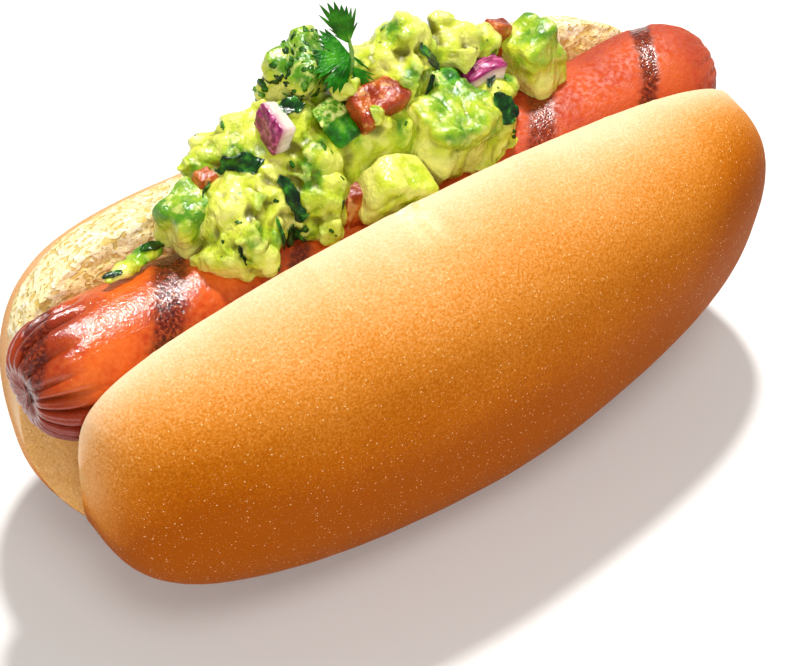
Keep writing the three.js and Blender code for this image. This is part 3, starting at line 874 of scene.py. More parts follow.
# %% Mash: the big lumps
# Each lump: its middle and its half sizes.
MASH_LUMPS = (
    (-22, 11, 62, 15, 8, 7), (-1, 11, 63, 16, 9, 10), (15, 9, 61, 12, 8.5, 8), (-8, 17, 68, 6.5, 5, 6),
    (10, 14, 70, 9.5, 6, 7), (-30, 3.5, 61.8, 7.2, 5.4, 5.4), (-28, 7, 66.2, 6.8, 5.6, 5),
    (-14.6, 4.5, 62.3, 6.2, 5.2, 6.6), (-11.2, 8.5, 67.6, 6.4, 5.2, 5), (-20, 11.5, 67.5, 6.4, 5.4, 4.8),
    (-27.5, 16.5, 68, 5, 4.4, 3.6), (-20.7, 16.5, 70.2, 6, 4.8, 4.4), (-13.3, 14, 71.6, 5.8, 5, 4.8),
    (5.5, 15, 74, 7, 5, 4.6), (11.5, 15, 77.6, 3.8, 3.6, 4.4), (19.6, 14, 71.6, 7, 4.6, 4.2),
    (5, 8, 67.5, 4.6, 3.4, 5), (22.5, 4.5, 60.5, 4, 4, 5.8), (22.1, 8, 65.4, 6.6, 4.4, 3.8),
    (-4, 7, 65.4, 4.2, 3.8, 4), (26.5, 13.5, 69.4, 5, 3.6, 3.8), (-2.1, 5.0, 74.2, 2, 2, 2.6),
    (-0.5, 4.8, 71.4, 2, 2, 2.6), (1.1, 4.8, 68.4, 2.2, 2.2, 2.6), (-3.4, 11.6, 76.2, 3.6, 3, 2.4),
)
MASH_TURN = 24
ROOM_EDGE = (0.5, 3.5)  # how far from a sphere the mash is kept down, and from where it is free


def clearance(points):
    """From 0 beside the large toppings to 1 away from them, so that mash doesn't bury them."""
    nearest = np.full(len(points), 99.0)
    for middle, radius in TOPPING_ROOM:
        nearest = np.minimum(nearest, np.linalg.norm(points - np.array(middle), axis=1) - radius)
    return smooth_step(nearest, *ROOM_EDGE)


def gather(shapes):
    """Several shapes, each its points and faces, as one."""
    all_points, all_faces, count = [], [], 0
    for shape, faces in shapes:
        all_points.append(shape)
        all_faces += [tuple(count + k for k in face) for face in faces]
        count += len(shape)
    return np.concatenate(all_points), all_faces


lumps = []
for i, (x, y, z, a, b, c) in enumerate(MASH_LUMPS):
    turn = [MASH_TURN * math.sin(angle) for angle in (2.3 * i, 3.1 * i + 1, 4.7 * i + 2)]
    shape, faces = block_shape((a, b, c), 2.5, 0.07, i, 24, 30)
    lumps.append((place_block(shape, (x, y, z), turn), faces))
mash = make_piece("guacamole_mash", *gather(lumps))
write_mark(mash, "room", clearance(read_points(mash)))
print("the heap starts from", len(MASH_LUMPS), "lumps")

# %% [markdown]
# The tree below takes a piece as its ground, throws points on it, and sets a small lump on each,
# turned and sized at random. The room mark thins the points out beside the toppings. The tree ends
# in Realize Instances, so that the lumps are real mesh, and its seed is fixed. A modifier's inputs
# are set by identifier, because two sockets may have the same name.

# %% Mash: small lumps scattered by Geometry Nodes
LUMP_TILT = 0.3
FULL_TURN = 6.28
scatter, made = new_tree(
    "GeometryNodeTree", "scatter_on_skin",
    {"Geometry": "Geometry", "Lump": "Object", "Density": "Float", "Smallest": "Float",
     "Largest": "Float", "Seed": "Int", "Material": "Material", "Keep Ground": "Bool"},
    {"Geometry": "Geometry"},
    {
        "room": "GeometryNodeInputNamedAttribute", "share": "ShaderNodeMath",
        "points": "GeometryNodeDistributePointsOnFaces", "lump": "GeometryNodeObjectInfo",
        "size": "FunctionNodeRandomValue", "turn": "FunctionNodeRandomValue",
        "spin": "FunctionNodeRotateRotation", "set": "GeometryNodeInstanceOnPoints",
        "switch": "GeometryNodeSwitch", "join": "GeometryNodeJoinGeometry",
        "real": "GeometryNodeRealizeInstances", "paint": "GeometryNodeSetMaterial",
    },
    (
        ("share", "operation", "MULTIPLY"), ("turn", "data_type", "FLOAT_VECTOR"),
        ("spin", "rotation_space", "LOCAL"), ("switch", "input_type", "GEOMETRY"),
    ),
    (
        ("in", "Geometry", "points", "Mesh"), ("room", "Attribute", "share", 0), ("in", "Density", "share", 1),
        ("share", 0, "points", "Density"), ("in", "Seed", "points", "Seed"), ("points", "Points", "set", "Points"),
        ("in", "Lump", "lump", "Object"), ("lump", "Geometry", "set", "Instance"),
        ("in", "Smallest", "size", 2), ("in", "Largest", "size", 3), ("in", "Seed", "size", "Seed"),
        ("in", "Seed", "turn", "Seed"), ("points", "Rotation", "spin", 0), ("turn", 0, "spin", 1),
        ("spin", 0, "set", "Rotation"), ("size", 1, "set", "Scale"),
        ("set", "Instances", "join", "Geometry"), ("in", "Keep Ground", "switch", "Switch"),
        ("in", "Geometry", "switch", "True"), ("switch", "Output", "join", "Geometry"),
        ("join", "Geometry", "real", "Geometry"), ("real", "Geometry", "paint", "Geometry"),
        ("in", "Material", "paint", "Material"), ("paint", "Geometry", "out", "Geometry"),
    ),
)
made["room"].inputs["Name"].default_value = "room"
made["turn"].inputs["Min"].default_value = (-LUMP_TILT, -LUMP_TILT, 0)
made["turn"].inputs["Max"].default_value = (LUMP_TILT, LUMP_TILT, FULL_TURN)


def modified_mesh(piece):
    """What a piece's modifiers make of it, as a plain mesh. The modifiers are taken off."""
    bpy.context.view_layer.update()
    seen = piece.evaluated_get(bpy.context.evaluated_depsgraph_get())
    mesh = bpy.data.meshes.new_from_object(seen)
    piece.modifiers.clear()
    return mesh


def scattered(ground, lump, density, sizes, seed, material, keep_ground):
    """A plain mesh of the ground with lumps on it, or of the lumps alone."""
    modifier = ground.modifiers.new("scatter", "NODES")
    modifier.node_group = scatter
    values = {
        "Lump": lump, "Density": density / MM ** 2, "Smallest": sizes[0], "Largest": sizes[1],
        "Seed": seed, "Material": material, "Keep Ground": keep_ground,
    }
    for item in scatter.interface.items_tree:
        if item.in_out == "INPUT" and item.name in values:
            modifier[item.identifier] = values[item.name]
    return modified_mesh(ground)


SMALL_LUMP_DENSITY = 0.012  # lumps on each square millimetre
SMALL_LUMP_SIZES = (1.2, 2.9)
guacamole = Finish("guacamole", Subsurface_Weight=0.08, Specular_IOR_Level=0.65)
shape, faces = block_shape((1, 1, 0.8), 3.0, 0.12, 2, 8, 10)
small_lump = make_piece("small_lump", shape + UNDER_MIDDLE, faces)
mash.data = scattered(mash, small_lump, SMALL_LUMP_DENSITY, SMALL_LUMP_SIZES, 5, guacamole.material, True)
bpy.data.objects.remove(small_lump)
print("with small lumps the heap has", len(mash.data.polygons), "faces")

# %% [markdown]
# Melting the heap leaves one skin of even faces. On it, two things can be measured that a material
# can't know by itself. A hollow is a point that lies below the average of the skin around it, and a
# ridge is one above it. Both are kept as marks for painted light: olive painted shade where less
# light gets in, and a paler painted highlight where the mash stands out.

# %% Mash: melting, hollows and ridges
def melt(piece, voxel, rounds):
    remesh = piece.modifiers.new("melt", "REMESH")
    remesh.mode = "VOXEL"
    remesh.voxel_size = voxel * MM
    smooth = piece.modifiers.new("soften", "SMOOTH")
    smooth.factor = 0.5
    smooth.iterations = rounds
    piece.data = modified_mesh(piece)
    shade_smooth(piece.data)


def neighbour_mean(piece, values, rounds):
    """Each point's value averaged with its neighbours', a number of times."""
    edges = np.empty(len(piece.data.edges) * 2, dtype=np.int32)
    piece.data.edges.foreach_get("vertices", edges)
    a, b = edges.reshape(-1, 2).T
    number = np.bincount(a, minlength=len(values)) + np.bincount(b, minlength=len(values))
    for _ in range(rounds):
        total = np.zeros_like(values)
        for axis in range(values.shape[1]):
            total[:, axis] = np.bincount(a, values[b, axis], len(values))
            total[:, axis] += np.bincount(b, values[a, axis], len(values))
        values = 0.5 * values + 0.5 * total / np.maximum(number, 1)[:, None]
    return values


def mark_hollows(piece, rounds, deepest):
    """Marks how far each point lies below or above the smoothed skin around it, from 0 to 1."""
    points = read_points(piece)
    away = neighbour_mean(piece, points, rounds) - points
    depth = np.sum(away * read_normals(piece), axis=1)
    write_mark(piece, "hollow", smooth_step(depth, 0, deepest))
    write_mark(piece, "ridge", smooth_step(-depth, 0, deepest))


# %% [markdown]
# Hollows are small. The gaps between whole lumps, which get painted shade, are found in another
# way: the heap is filled into a grid of cells and blurred, and each point looks a short step
# outwards. If it finds much of the heap there, another lump stands in front of it. The last helper
# makes the folds: noise turned into round lobes with sharp creases between them, as wet mash has
# when a spoon lets go of it.

# %% Mash: crowded gaps and the folds of a spoon
CROWD_CELL = 0.7
CROWD_REACH = 4  # how far the blur goes, in cells
CROWD_STEP = 2.4
CROWD_MARGIN = 8


def crowding(piece):
    """How much of the heap stands in front of each point: near 0 in the open, and more in a gap."""
    points = read_points(piece)
    low = points.min(axis=0) - CROWD_MARGIN
    shape = np.ceil((points.max(axis=0) + CROWD_MARGIN - low) / CROWD_CELL).astype(int)
    filled = np.zeros(shape)
    filled[tuple(((points - low) / CROWD_CELL).astype(int).T)] = 1
    steps = range(-CROWD_REACH, CROWD_REACH + 1)
    for axis in range(3):
        filled = sum(np.roll(filled, k, axis) * (1 - abs(k) / (CROWD_REACH + 1)) for k in steps)
    ahead = ((points + CROWD_STEP * read_normals(piece) - low) / CROWD_CELL).astype(int)
    return filled[tuple(np.clip(ahead, 0, shape - 1).T)]


def spoon(piece, strength, seed):
    """The folds and drips of wet mash, from large to fine. A fold is round with a sharp crease."""
    points = read_points(piece)
    bent = points + 2.2 * np.stack([bumps(points, 7, seed + k) for k in (1, 2, 3)], axis=1)
    lobes = 2 * np.abs(bumps(bent, 7, seed + 4)) - 0.55
    torn_ridges = 0.5 - 2 * np.abs(bumps(bent, 3.6, seed + 5))
    small_lobes = 2 * np.abs(bumps(bent, 1.9, seed + 7)) - 0.5
    fine = bumps(points, 1.2, seed + 6)
    return strength * (0.95 * lobes + 0.45 * torn_ridges + 0.15 * small_lobes + 0.04 * fine)


# %% Mash: melt, smooth and fold
MASH_VOXEL = 0.36
SOFTENING = 8
KEPT_DOWN = 0.8  # how much lower the mash lies beside a topping

melt(mash, MASH_VOXEL, SOFTENING)
room = clearance(read_points(mash))
raise_skin(mash, spoon(mash, 1.0, 31) * (0.25 + 0.75 * room) - KEPT_DOWN * (1 - room))
mark_hollows(mash, 30, 0.45)
crowd = crowding(mash)
open_air, gap = np.percentile(crowd, (60, 98))
# painted shade: the deep mark darkens the gaps between lumps
write_mark(mash, "deep", smooth_step(crowd, open_air, gap))
write_mark(mash, "room", room)
print(f"crowding runs from {open_air:.1f} in the open to {gap:.1f} in the gaps")
print("the mash is one skin of", len(mash.data.polygons), "faces")

# %% [markdown]
# Mash is a patchwork: pale yellow-green flesh and greener bits from under the skin. Olive in the
# hollows and in the gaps between lumps is painted shade, and pale patches and a pale tint on the
# ridges are painted highlights, the patches partly pale flesh too. Light goes a little way into it,
# so it gets some subsurface scattering, and a low roughness makes it look wet. Tiny dark specks are
# herbs chopped fine.

# %% Mash: its finish
FLESH_LIGHT = (0.8, 1.0, 0.2)
guacamole.let_light_in(*FLESH_LIGHT)
base = guacamole.ramp(
    guacamole.mottle(7, 3.2),
    (0.06, "#EAE87C"), (0.3, "#D6DC46"), (0.6, "#BCCC2A"), (0.82, "#90B41A"), (0.98, "#508A10"),
)
# partly painted highlight: pale patches laid at random, partly pale flesh
base = guacamole.mix(guacamole.levels(guacamole.mottle(2.4, 2.6), 0.5, 0.95, 0.0, 0.55), base, "#ECEC7C")
# painted highlight: a paler tint on the ridges, where the mash stands out
base = guacamole.tint(base, guacamole.mark("ridge"), 0.4, "#EAF084")
# painted shade: olive in the gaps between lumps and in the hollows
base = guacamole.tint(base, guacamole.mark("deep"), 0.8, "#746C00")
base = guacamole.tint(base, guacamole.mark("hollow"), 0.9, "#5A5800")
base = guacamole.tint(base, guacamole.specks(2.8, 0.11, 0.25), 0.8, "#2F5A14")
guacamole.set("Base Color", base)
guacamole.set("Roughness", guacamole.levels(guacamole.mottle(1.2, 2.4), 0.2, 0.8, 0.05, 0.17))
guacamole.bump((guacamole.mottle(1.7, 2.0), 0.15), (guacamole.mottle(0.7, 2.4), 0.15))
dress(mash, guacamole, "guacamole", "guacamole")

# %% [markdown]
# ## Avocado chunks
# Five pieces of avocado are still whole: soft cubes smeared with mash. Each starts as one block that
# keeps its corners, and gets the folds of the mash on top. Their flesh is paler inside and green
# where it lay against the skin, so a green mark runs from one side of each chunk to the other.

# %% Avocado chunks
avocado = Finish("avocado", Subsurface_Weight=0.08, Specular_IOR_Level=0.65)
avocado.let_light_in(*FLESH_LIGHT)
for name, (at, half, turn, seed, greenness, roughness) in AVOCADOS.items():
    shape, faces = block_shape(half, 6.5, 0.06, seed, 120, 140)
    piece = make_piece(name + "_chunk", place_block(shape, at, turn), faces)
    side = shape[:, 2] / half[2] + 0.5 * shape[:, 0] / half[0]
    write_mark(piece, "green", np.clip(greenness * smooth_step(side, -1.2, 1.5), 0, 1))
    raise_skin(piece, spoon(piece, roughness, 50 + 7 * seed))
    mark_hollows(piece, 26, 0.4)
    dress(piece, avocado, "avocado", name)

side = avocado.math("ADD", avocado.mark("green"), avocado.swing(6, 2.4), clamp=True)
base = avocado.ramp(side, (0.05, "#EAE67A"), (0.4, "#CCD43A"), (0.75, "#92B822"), (1.0, "#528C14"))
# painted highlight: pale patches laid at random
base = avocado.mix(avocado.levels(avocado.mottle(1.8, 2.6), 0.5, 0.95, 0.0, 0.5), base, "#ECEC86")
# painted shade: olive in the hollows of the chunks
base = avocado.tint(base, avocado.mark("hollow"), 0.85, "#5C6A06")
avocado.set("Base Color", base)
avocado.set("Roughness", avocado.levels(avocado.mottle(1.2, 2.4), 0.2, 0.8, 0.08, 0.28))
avocado.bump((avocado.mottle(1.5, 2.0), 0.14), (avocado.mottle(0.5, 2.4), 0.08))

# %% [markdown]
# A dab of guacamole fell beside the heap, between the sausage and the crumb. It is too small for
# lumps of its own, so it is made as an avocado chunk is: a long thin block with the same folds.

# %% Stray dab of guacamole
shape, faces = block_shape((6.7, 1.6, 1.1), 2.0, 0.12, 3, 80, 60)
dab = make_piece("guacamole_dab_smear", place_block(shape, (-46.6, 11.2, 60.6), (0, 12, 19)), faces)
write_mark(dab, "green", 0.55 + 0.6 * bumps(read_points(dab), 3, 92))
raise_skin(dab, spoon(dab, 0.45, 90))
mark_hollows(dab, 16, 0.3)
dress(dab, avocado, "guacamole", "guacamole_dab")

# %% [markdown]
# ## Tomato
# Diced tomato has soft corners and wet flesh, with pale veins that run through the red. It could be
# a cube with a bevel, but real dice sag and dent, so it is a soft block with low bumps. The veins
# are a mottle on stretched coordinates, which draws them out into streaks.

# %% Tomato pieces
tomato = Finish("tomato", Specular_IOR_Level=0.7)
for name, (at, half, turn, seed) in TOMATOES.items():
    shape, faces = block_shape(half, 7, 0.07, seed, 72, 84)
    piece = make_piece(name + "_dice", place_block(shape, at, turn), faces)
    points = read_points(piece)
    raise_skin(piece, 0.3 * bumps(points, 3.4, seed) + 0.12 * bumps(points, 1.2, seed + 1) - 0.05)
    dress(piece, tomato, "tomato", name)
veins = tomato.mottle(2.2, 3.4, 3.0, tomato.stretched(1.4, 1.0, 0.7))
base = tomato.ramp(tomato.mottle(4, 2.2), (0.15, "#882404"), (0.5, "#AA3E0C"), (0.9, "#C66C26"))
tomato.set("Base Color", tomato.mix(tomato.levels(veins, 0.66, 1.0, 0.0, 0.6), base, "#E8AC6A"))
tomato.set("Roughness", tomato.levels(tomato.mottle(1.0, 2.6), 0.1, 0.9, 0.14, 0.4))
tomato.bump((tomato.mottle(1.3, 2.2), 0.2), (tomato.mottle(0.5, 2.2), 0.08))

# %% [markdown]
# ## Onion and pepper
# Both are cut from the wall of something round, so a piece is a slab that bends: a flat block is
# drawn first, and is then wrapped round the radius that it was cut from. A mark runs from the
# inside of the wall to the outside, where red onion is purple and a pepper has its dark green skin.
# A second mark says where that skin is torn off, over half of the piece, which is rougher there.

# %% Pieces of curved wall
SKIN_DEPTH = 0.3


def wall_piece(name, at, turn, radius, wall, spread, length, seed):
    half = (radius * math.radians(spread) / 2, length / 2, wall / 2)
    flat, faces = block_shape(half, 9, 0.012, seed, 70, 84)
    angle = flat[:, 0] / radius
    out = radius - wall / 2 + flat[:, 2]
    bent = np.stack([out * np.sin(angle), flat[:, 1], out * np.cos(angle) + wall / 2 - radius], axis=1)
    piece = make_piece(name, place_block(bent, at, turn), faces)
    write_mark(piece, "outside", flat[:, 2] / wall + 0.5)
    points = read_points(piece)
    skinless = smooth_step(flat[:, 1] + 0.5 * bumps(points, 2, seed), 0.0, 0.5)
    write_mark(piece, "skinless", skinless)
    rough = (0.05 + 0.16 * skinless) * bumps(points, 0.9, seed)
    raise_skin(piece, 0.16 * bumps(points, 2.6, seed) + rough - SKIN_DEPTH * skinless)
    return piece


# %% Onion
onion = Finish("onion", Subsurface_Weight=0.1, Specular_IOR_Level=0.5)
onion.let_light_in(1.0, 0.7, 0.8)
for name, sizes in ONIONS.items():
    dress(wall_piece(name + "_slice", *sizes), onion, "onion", name)
flesh = onion.ramp(onion.mark("outside"), (0.0, "#EFE2D2"), (0.55, "#EAD2C8"), (0.8, "#D39CAC"), (0.9, "#8C2A5C"))
streaks = onion.mottle(0.9, 3.0, 3.0, onion.stretched(0.3, 1.0, 1.0))
purple = onion.ramp(streaks, (0.2, "#741848"), (0.6, "#A8306E"), (0.95, "#CC6A9C"))
onion.set("Base Color", onion.mix(onion.levels(onion.mark("outside"), 0.86, 0.96), flesh, purple))
onion.set("Roughness", onion.levels(onion.mottle(0.9, 2.0), 0.2, 0.8, 0.18, 0.4))
onion.bump((streaks, 0.08))

# %% Green pepper
pepper = Finish("green_pepper", Specular_IOR_Level=0.6)
for name, sizes in PEPPERS.items():
    dress(wall_piece(name + "_slice", *sizes), pepper, "green_pepper", name)
flesh = pepper.ramp(pepper.mottle(0.9, 3.2), (0.2, "#4E8E1C"), (0.5, "#9CC440"), (0.9, "#E2EA90"))
green = pepper.ramp(pepper.mottle(3.0, 2.4), (0.2, "#0E4C04"), (0.6, "#2A8206"), (0.95, "#78BC1C"))
with_skin = pepper.math("SUBTRACT", 1.0, pepper.mark("skinless"))
skinned = pepper.math("MULTIPLY", pepper.levels(pepper.mark("outside"), 0.8, 0.93), with_skin)
pepper.set("Base Color", pepper.mix(skinned, flesh, green))
pepper.set("Roughness", pepper.levels(pepper.mottle(0.8, 2.6), 0.2, 0.8, 0.12, 0.4))
pepper.bump((pepper.mottle(0.9, 2.4), 0.2))

# %% [markdown]
# ## Green leaf pieces in the mash
# Chopped coriander shows as dark, wet scraps on the mash and on the dab. A scrap is a sheet of mesh
# laid out flat, and each of its points is then drawn to the nearest place on what it lies on, so it
# follows every fold. Its edges curl up, and Solidify gives it the thickness of a leaf.

# %% Leaf scraps
# Each scrap: a place near it, half its length and width, its spin in degrees and its curl.
MASH_SCRAPS = (
    ((-25.5, 11, 70.6), (4.0, 2.2), -27, 0.9), ((-20.6, 3, 67), (4.4, 1.3), -90, 0.5),
    ((21.4, 0.4, 67.4), (3.0, 2.4), -68, 0.7), ((-34.6, 13.1, 70.1), (2.0, 1.7), 0, 0.4),
    ((-21.8, 1.7, 60.9), (2.6, 1.9), -59, 0.9), ((11.6, 8.6, 77.9), (3.6, 1.6), -98, 0.8),
    ((-24.5, 0.6, 63.0), (3.0, 0.4), -70, 0.2), ((9.5, 6.5, 73.5), (2.6, 0.5), 25, 0.5),
    ((22.5, 5.5, 69.8), (2.2, 0.6), 55, 0.4), ((-31, 2.0, 61), (2.0, 0.35), -95, 0.2),
    ((-10.2, 15.5, 78.5), (2.6, 1.2), 60, 0.5), ((-12.5, 14.5, 74.5), (2.4, 1.3), -15, 0.5),
)
DAB_SCRAPS = (((-42.0, 12.6, 60.8), (2.4, 0.8), 10, 0.25), ((-51.4, 9.5, 62.2), (1.7, 0.6), 10, 0.1))
TOWARDS = np.array([-0.41, -0.56, 0.72])  # from the food towards the camera
FACING_TURN = (39, -24)  # lays a flat piece towards the front left
LEAF_ROWS, LEAF_COLUMNS = 26, 13
LOOK_FROM = 60
STICKING = 0.65  # how closely a scrap follows its ground
LEAF_LIFT = 0.12
SCRAP_THICKNESS = 0.22


def surface_under(surface, point, way=None):
    """The nearest place on a surface, or the first one met from far along a way, and its normal."""
    start = Vector((point - UNDER_MIDDLE) * MM)
    place = None
    if way is not None:
        place, normal, _, _ = surface.ray_cast(start + Vector(way) * LOOK_FROM * MM, -Vector(way))
    if place is None:
        place, normal, _, _ = surface.find_nearest(start)
    return np.array(place) / MM + UNDER_MIDDLE, np.array(normal)


def stuck_leaf(surface, at, half, spin, curl, seed):
    """A scrap of leaf that follows what it lies on and curls up towards its edges."""
    place, normal = surface_under(surface, np.array(at), TOWARDS)
    long_way = turn_matrix((*FACING_TURN, spin)) @ np.array([1.0, 0, 0])
    long_way -= normal * (long_way @ normal)
    long_way /= np.linalg.norm(long_way)
    across = np.cross(normal, long_way)
    points = []
    for s in np.linspace(-1, 1, LEAF_ROWS):
        ragged = 1 + 0.16 * math.sin(7 * s + seed) + 0.05 * math.sin(17 * s + 2 * seed)
        width = half[1] * max(0.02, 1 - abs(s) ** 2.6) ** 0.6 * ragged
        for c in np.linspace(-1, 1, LEAF_COLUMNS):
            flat = place + long_way * half[0] * s + across * width * c
            ground, ground_normal = surface_under(surface, flat)
            edge = max(abs(s) ** 3, abs(c) ** 2)
            waves = 0.6 + 0.4 * math.sin(3 * s + 2 * c + seed)
            height = LEAF_LIFT + curl * edge * waves + 0.12 * abs(c)
            points.append((1 - STICKING) * flat + STICKING * ground + ground_normal * height)
    return np.array(points), sheet_faces(LEAF_ROWS, LEAF_COLUMNS)


def thicken(piece, thickness):
    """Turns a sheet into a closed leaf of this thickness."""
    solidify = piece.modifiers.new("thickness", "SOLIDIFY")
    solidify.thickness = thickness * MM
    solidify.offset = 0
    piece.data = modified_mesh(piece)


leaves = []
for ground, table, first_seed in ((mash, MASH_SCRAPS, 0), (dab, DAB_SCRAPS, 20)):
    surface = BVHTree.FromObject(ground, bpy.context.evaluated_depsgraph_get())
    leaves += [stuck_leaf(surface, *scrap, seed) for seed, scrap in enumerate(table, first_seed)]
scraps = make_piece("leaf_scraps", *gather(leaves))
thicken(scraps, SCRAP_THICKNESS)
herb = Finish("chopped_leaf", Roughness=0.22, Specular_IOR_Level=0.6)
herb.set("Base Color", herb.ramp(herb.mottle(2.0, 2.6), (0.2, "#031A04"), (0.6, "#0C4210"), (0.95, "#3A8420")))
herb.bump((herb.mottle(0.8, 2.2), 0.12))
dress(scraps, herb, "coriander")

# %% [markdown]
# The finest bits of leaf are crumbs. There are hundreds, so the tree that scattered the small lumps
# scatters them too, as flat crumbs of a few faces each: thinly on the mash, and thickly on the clump
# at the back, which is crusted with them. Here the ground isn't kept, and the crumbs are a piece.

# %% Leaf crumbs
shape, faces = block_shape((1, 0.7, 0.14), 2.2, 0.25, 3, 7, 10)
crumb_of_leaf = make_piece("crumb_of_leaf", shape + UNDER_MIDDLE, faces)
wet_herb = Finish("leaf_crumbs", Roughness=0.25, Specular_IOR_Level=0.5)
wet_green = wet_herb.ramp(wet_herb.mottle(3.0, 2.6), (0.2, "#123A08"), (0.55, "#2C6A10"), (0.95, "#5C9A22"))
wet_herb.set("Base Color", wet_green)


def sprinkle(name, ground, density, sizes, seed):
    """Crumbs of leaf on a piece of the heap, as a mesh of their own."""
    mesh = scattered(ground, crumb_of_leaf, density, sizes, seed, wet_herb.material, False)
    shade_smooth(mesh)
    dress(link(name, mesh), wet_herb, "coriander")


back_chunk = bpy.data.objects["avocado_back_chunk"]
write_mark(back_chunk, "room", np.ones(len(back_chunk.data.vertices)))
sprinkle("leaf_crumbs", mash, 0.012, (0.3, 0.9), 9)
sprinkle("leaf_crumbs_back", back_chunk, 0.26, (0.35, 1.0), 4)
bpy.data.objects.remove(crumb_of_leaf)

# %% [markdown]
# ## The sprig of coriander
# A coriander leaf is a fan of pointed lobes on a thin stalk. It could be a picture on a flat card,
# but then it would have no edge and no thickness. So each leaflet is a fan of mesh: rows of points
# go out from its base, and each column ends at the tip of a lobe, in a notch, or between the two.
# Veins lie in shallow grooves, and Solidify gives the fan the thickness of a leaf.

# %% Coriander: the leaflets
# Each leaflet: where it starts, how far it leans towards the view for each millimetre right and
# up, and its lobes, each with its angle, its reach, and the reach of the notch after it.
LEAFLETS = (
    ((-1.8, 13.0, 84.0), (-0.70, 1.24),
     ((158, 2.4, 2.1), (151, 3.6, 3.0), (143, 5.9, 4.8), (132, 6.8, 5.6), (121, 6.3, 5.5), (111, 6.1, 5.2),
      (101, 5.4, 4.8), (92, 5.2, 4.4), (84, 5.0, 4.0), (76, 5.2, 3.4), (64, 3.4, 2.0))),
    ((-1.3, 13.2, 80.9), (-0.39, -0.27),
     ((134, 6.2, 5.8), (141, 6.7, 6.0), (148, 6.3, 5.7), (156, 6.0, 5.2), (163, 5.2, 3.9), (173, 6.1, 5.7),
      (182, 6.5, 6.0), (190, 6.4, 5.9), (198, 6.8, 6.0), (208, 6.9, 6.2), (217, 6.8, 4.6), (227, 6.8, 6.2),
      (236, 7.2, 6.4), (246, 7.1, 6.2), (254, 6.6, 5.6), (262, 5.4, 3.4))),
    ((-1.9, 11.8, 79.8), (-0.35, 0.3),
     ((276, 2.6, 2.2), (291, 3.6, 3.0), (305, 4.1, 3.2), (318, 4.3, 3.2), (331, 4.1, 2.9), (343, 3.9, 1.8))),
    ((-1.1, 13.2, 80.9), (-0.5, 0.4), ((318, 2.4, 2.3), (325, 3.9, 2.3), (332, 2.2, 1.3))),
)
RIGHT = np.array([0.807, -0.59, 0.0])  # right and up as the camera sees them
UP = np.array([0.4255, 0.582, 0.693])
DEEPER_CUTS = 1.7
OUTER_ANGLE = 6
MAIN_VEIN, SIDE_VEIN = 1.0, 0.3
FAN_ROWS = 9
STEPS_TO_NOTCH = 4
LEAFLET_THICKNESS = 0.24


def leaflet(base, lean, lobes, seed):
    """A fan of pointed lobes, every third of them with a vein in a groove. Gives its veins too."""
    corners = [(lobes[0][0] - OUTER_ANGLE, lobes[0][1] * 0.5, 0.0)]
    for i, (angle, reach, notch) in enumerate(lobes):
        after = (angle + lobes[i + 1][0]) / 2 if i + 1 < len(lobes) else angle + OUTER_ANGLE
        cut = reach - DEEPER_CUTS * (reach - notch)
        corners += [(angle, reach, MAIN_VEIN if i % 3 == 1 else SIDE_VEIN), (after, cut, 0.0)]
    corners = np.array(corners)
    column = np.linspace(0, len(corners) - 1, STEPS_TO_NOTCH * (len(corners) - 1) + 1)
    angles, reaches, veined = (np.interp(column, np.arange(len(corners)), corners[:, k]) for k in range(3))
    points, veins = [], []
    for row in range(FAN_ROWS):
        s = 0.05 + 0.95 * row / (FAN_ROWS - 1)
        for angle, reach, vein in zip(angles, reaches, veined):
            turn = math.radians(angle)
            right, up = s * reach * math.cos(turn), s * reach * math.sin(turn)
            far = s * reach / reaches.max()
            lift = -0.14 * vein * far + 0.3 * math.sin(3 * turn + seed) * far ** 2 - 0.6 * far ** 3
            towards = lean[0] * right + lean[1] * up + lift
            points.append(np.array(base) + right * RIGHT + up * UP + towards * TOWARDS)
            veins.append(vein * (1 - 0.35 * far))
    return np.array(points), sheet_faces(FAN_ROWS, len(angles)), veins


leaflets = [leaflet(*sizes, seed) for seed, sizes in enumerate(LEAFLETS)]
sprig = make_piece("coriander_sprig", *gather([(points, faces) for points, faces, _ in leaflets]))
write_mark(sprig, "vein", np.concatenate([veins for _, _, veins in leaflets]))
thicken(sprig, LEAFLET_THICKNESS)
print("the sprig has", len(LEAFLETS), "leaflets")

# %% [markdown]
# The stalk is a closed skin as well, whose middle follows a few points and whose ends are round. It
# takes the same finish as the leaflets, with its vein mark set high, so that it is pale green.

# %% Coriander: the stalk and the finish
STALK = np.array(
    [(-2.9, 12, 73.6), (-1.9, 12.4, 76.5), (-1.3, 12.9, 79.5), (-1.2, 13.1, 82), (-2.0, 12.9, 86.0)]
)
STALK_RADIUS = 0.4
STALK_RINGS, STALK_SPOKES = 40, 12
along, around = skin_grid(STALK_RINGS, STALK_SPOKES)
place = along * (len(STALK) - 1)
middle = np.stack([np.interp(place, np.arange(len(STALK)), STALK[:, axis]) for axis in range(3)], axis=1)
thickness = STALK_RADIUS * np.sin(math.pi * along) ** 0.25
ring = np.outer(-np.cos(around), RIGHT) + np.outer(np.sin(around), TOWARDS)
stalk = make_piece("coriander_stalk", middle + thickness[:, None] * ring, skin_faces(STALK_RINGS, STALK_SPOKES))
write_mark(stalk, "vein", np.full(len(middle), 0.9))

leaf = Finish("coriander", Roughness=0.38, Specular_IOR_Level=0.2)
green = leaf.ramp(leaf.mottle(3.0, 2.4), (0.15, "#0A4604"), (0.55, "#1E740A"), (0.95, "#449618"))
leaf.set("Base Color", leaf.mix(leaf.levels(leaf.mark("vein"), 0.7, 0.95, 0.0, 0.7), green, "#9CC465"))
leaf.bump((leaf.mottle(0.9, 2.2), 0.15))
dress(sprig, leaf, "coriander", "coriander")
dress(stalk, leaf, "coriander")

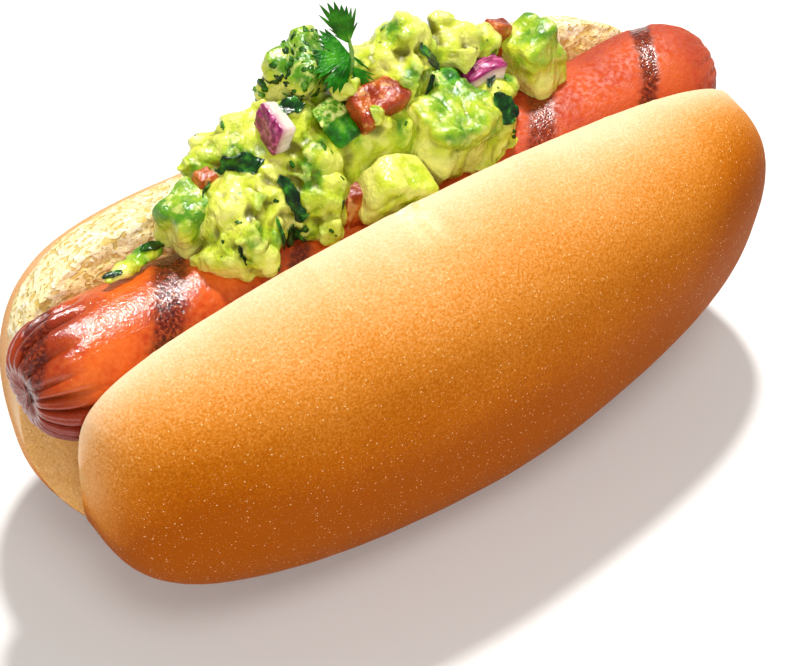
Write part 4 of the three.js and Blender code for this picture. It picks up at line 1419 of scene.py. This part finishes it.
# %% [markdown]
# ## The studio
# A plain pale floor and a warm pale sky that fills the shadows. A small key lamp high behind the
# hot dog throws a clear shadow to the front, and a second one beside it shows only in highlights,
# for the shine on sausage and mash. The two broad lamps light the near side and show in no
# highlight, because their reflection would lie over the food like haze.

# %% Floor and lamps
FLOOR_REACH = 3  # metres
corners = [(x * FLOOR_REACH, y * FLOOR_REACH, 0) for x, y in ((-1, -1), (1, -1), (1, 1), (-1, 1))]
floor_mesh = bpy.data.meshes.new("floor")
floor_mesh.from_pydata(corners, [], [(0, 1, 2, 3)])
floor = link("floor", floor_mesh)
paper = Finish("floor", Roughness=0.7)
paper.set("Base Color", paper.ramp(paper.mottle(400, 1.0), (0.0, "#E9E9EA"), (1.0, "#F1F1F2")))
floor.data.materials.append(paper.material)

LAMPS_AIM = Vector((0, 0, 0.04))


def lamp(name, way, distance, size, power, tint, lights=True, shines=True):
    """A round lamp that looks at the hot dog. It can light surfaces, shine in them, or do both."""
    data = bpy.data.lights.new(name, "AREA")
    data.shape = "DISK"
    data.size = size
    data.energy = power
    data.color = tint
    light = link(name, data)
    way = Vector(way).normalized()
    light.location = way * distance + LAMPS_AIM
    light.rotation_mode = "QUATERNION"
    light.rotation_quaternion = way.to_track_quat("Z", "Y")
    light.visible_diffuse = lights
    light.visible_glossy = shines


lamp("key", (0.24, 0.29, 0.92), 0.9, 0.09, 8.3, (1.0, 0.98, 0.94))
lamp("shine", (0.22, 0.29, 0.92), 0.9, 0.12, 5.5, (1.0, 0.98, 0.95), lights=False)
lamp("top", (-0.15, -0.35, 0.92), 1.0, 0.4, 2.2, (1.0, 0.99, 0.95), shines=False)
lamp("fill", (-0.5, -0.7, 0.62), 1.1, 0.6, 5.2, (1.0, 0.99, 0.96), shines=False)
world = bpy.data.worlds.new("studio")
world.use_nodes = True
world.node_tree.nodes["Background"].inputs["Color"].default_value = (1.0, 0.96, 0.88, 1)
world.node_tree.nodes["Background"].inputs["Strength"].default_value = 0.28
bpy.context.scene.world = world
bpy.context.scene.view_settings.view_transform = "Standard"
print("lamps:", ", ".join(sorted(light.name for light in bpy.data.lights)))

# %% [markdown]
# The camera looks down at the front left, at the angle of the picture. Its place was found by
# fitting the outlines of bun and sausage, so it is written as plain numbers, in metres.

# %% Camera
CAMERA_PLACE = (-0.16094, -0.22180, 0.30658)
CAMERA_AIM = Vector((-0.001286, -0.00326, 0.02475))
camera_data = bpy.data.cameras.new("camera")
camera_data.lens = 97.45
camera_data.sensor_width = 36
camera = link("camera", camera_data)
camera.location = CAMERA_PLACE
camera.rotation_mode = "QUATERNION"
camera.rotation_quaternion = (camera.location - CAMERA_AIM).to_track_quat("Z", "Y")
bpy.context.scene.camera = camera
print("the camera is", round((camera.location - CAMERA_AIM).length, 3), "metres away")
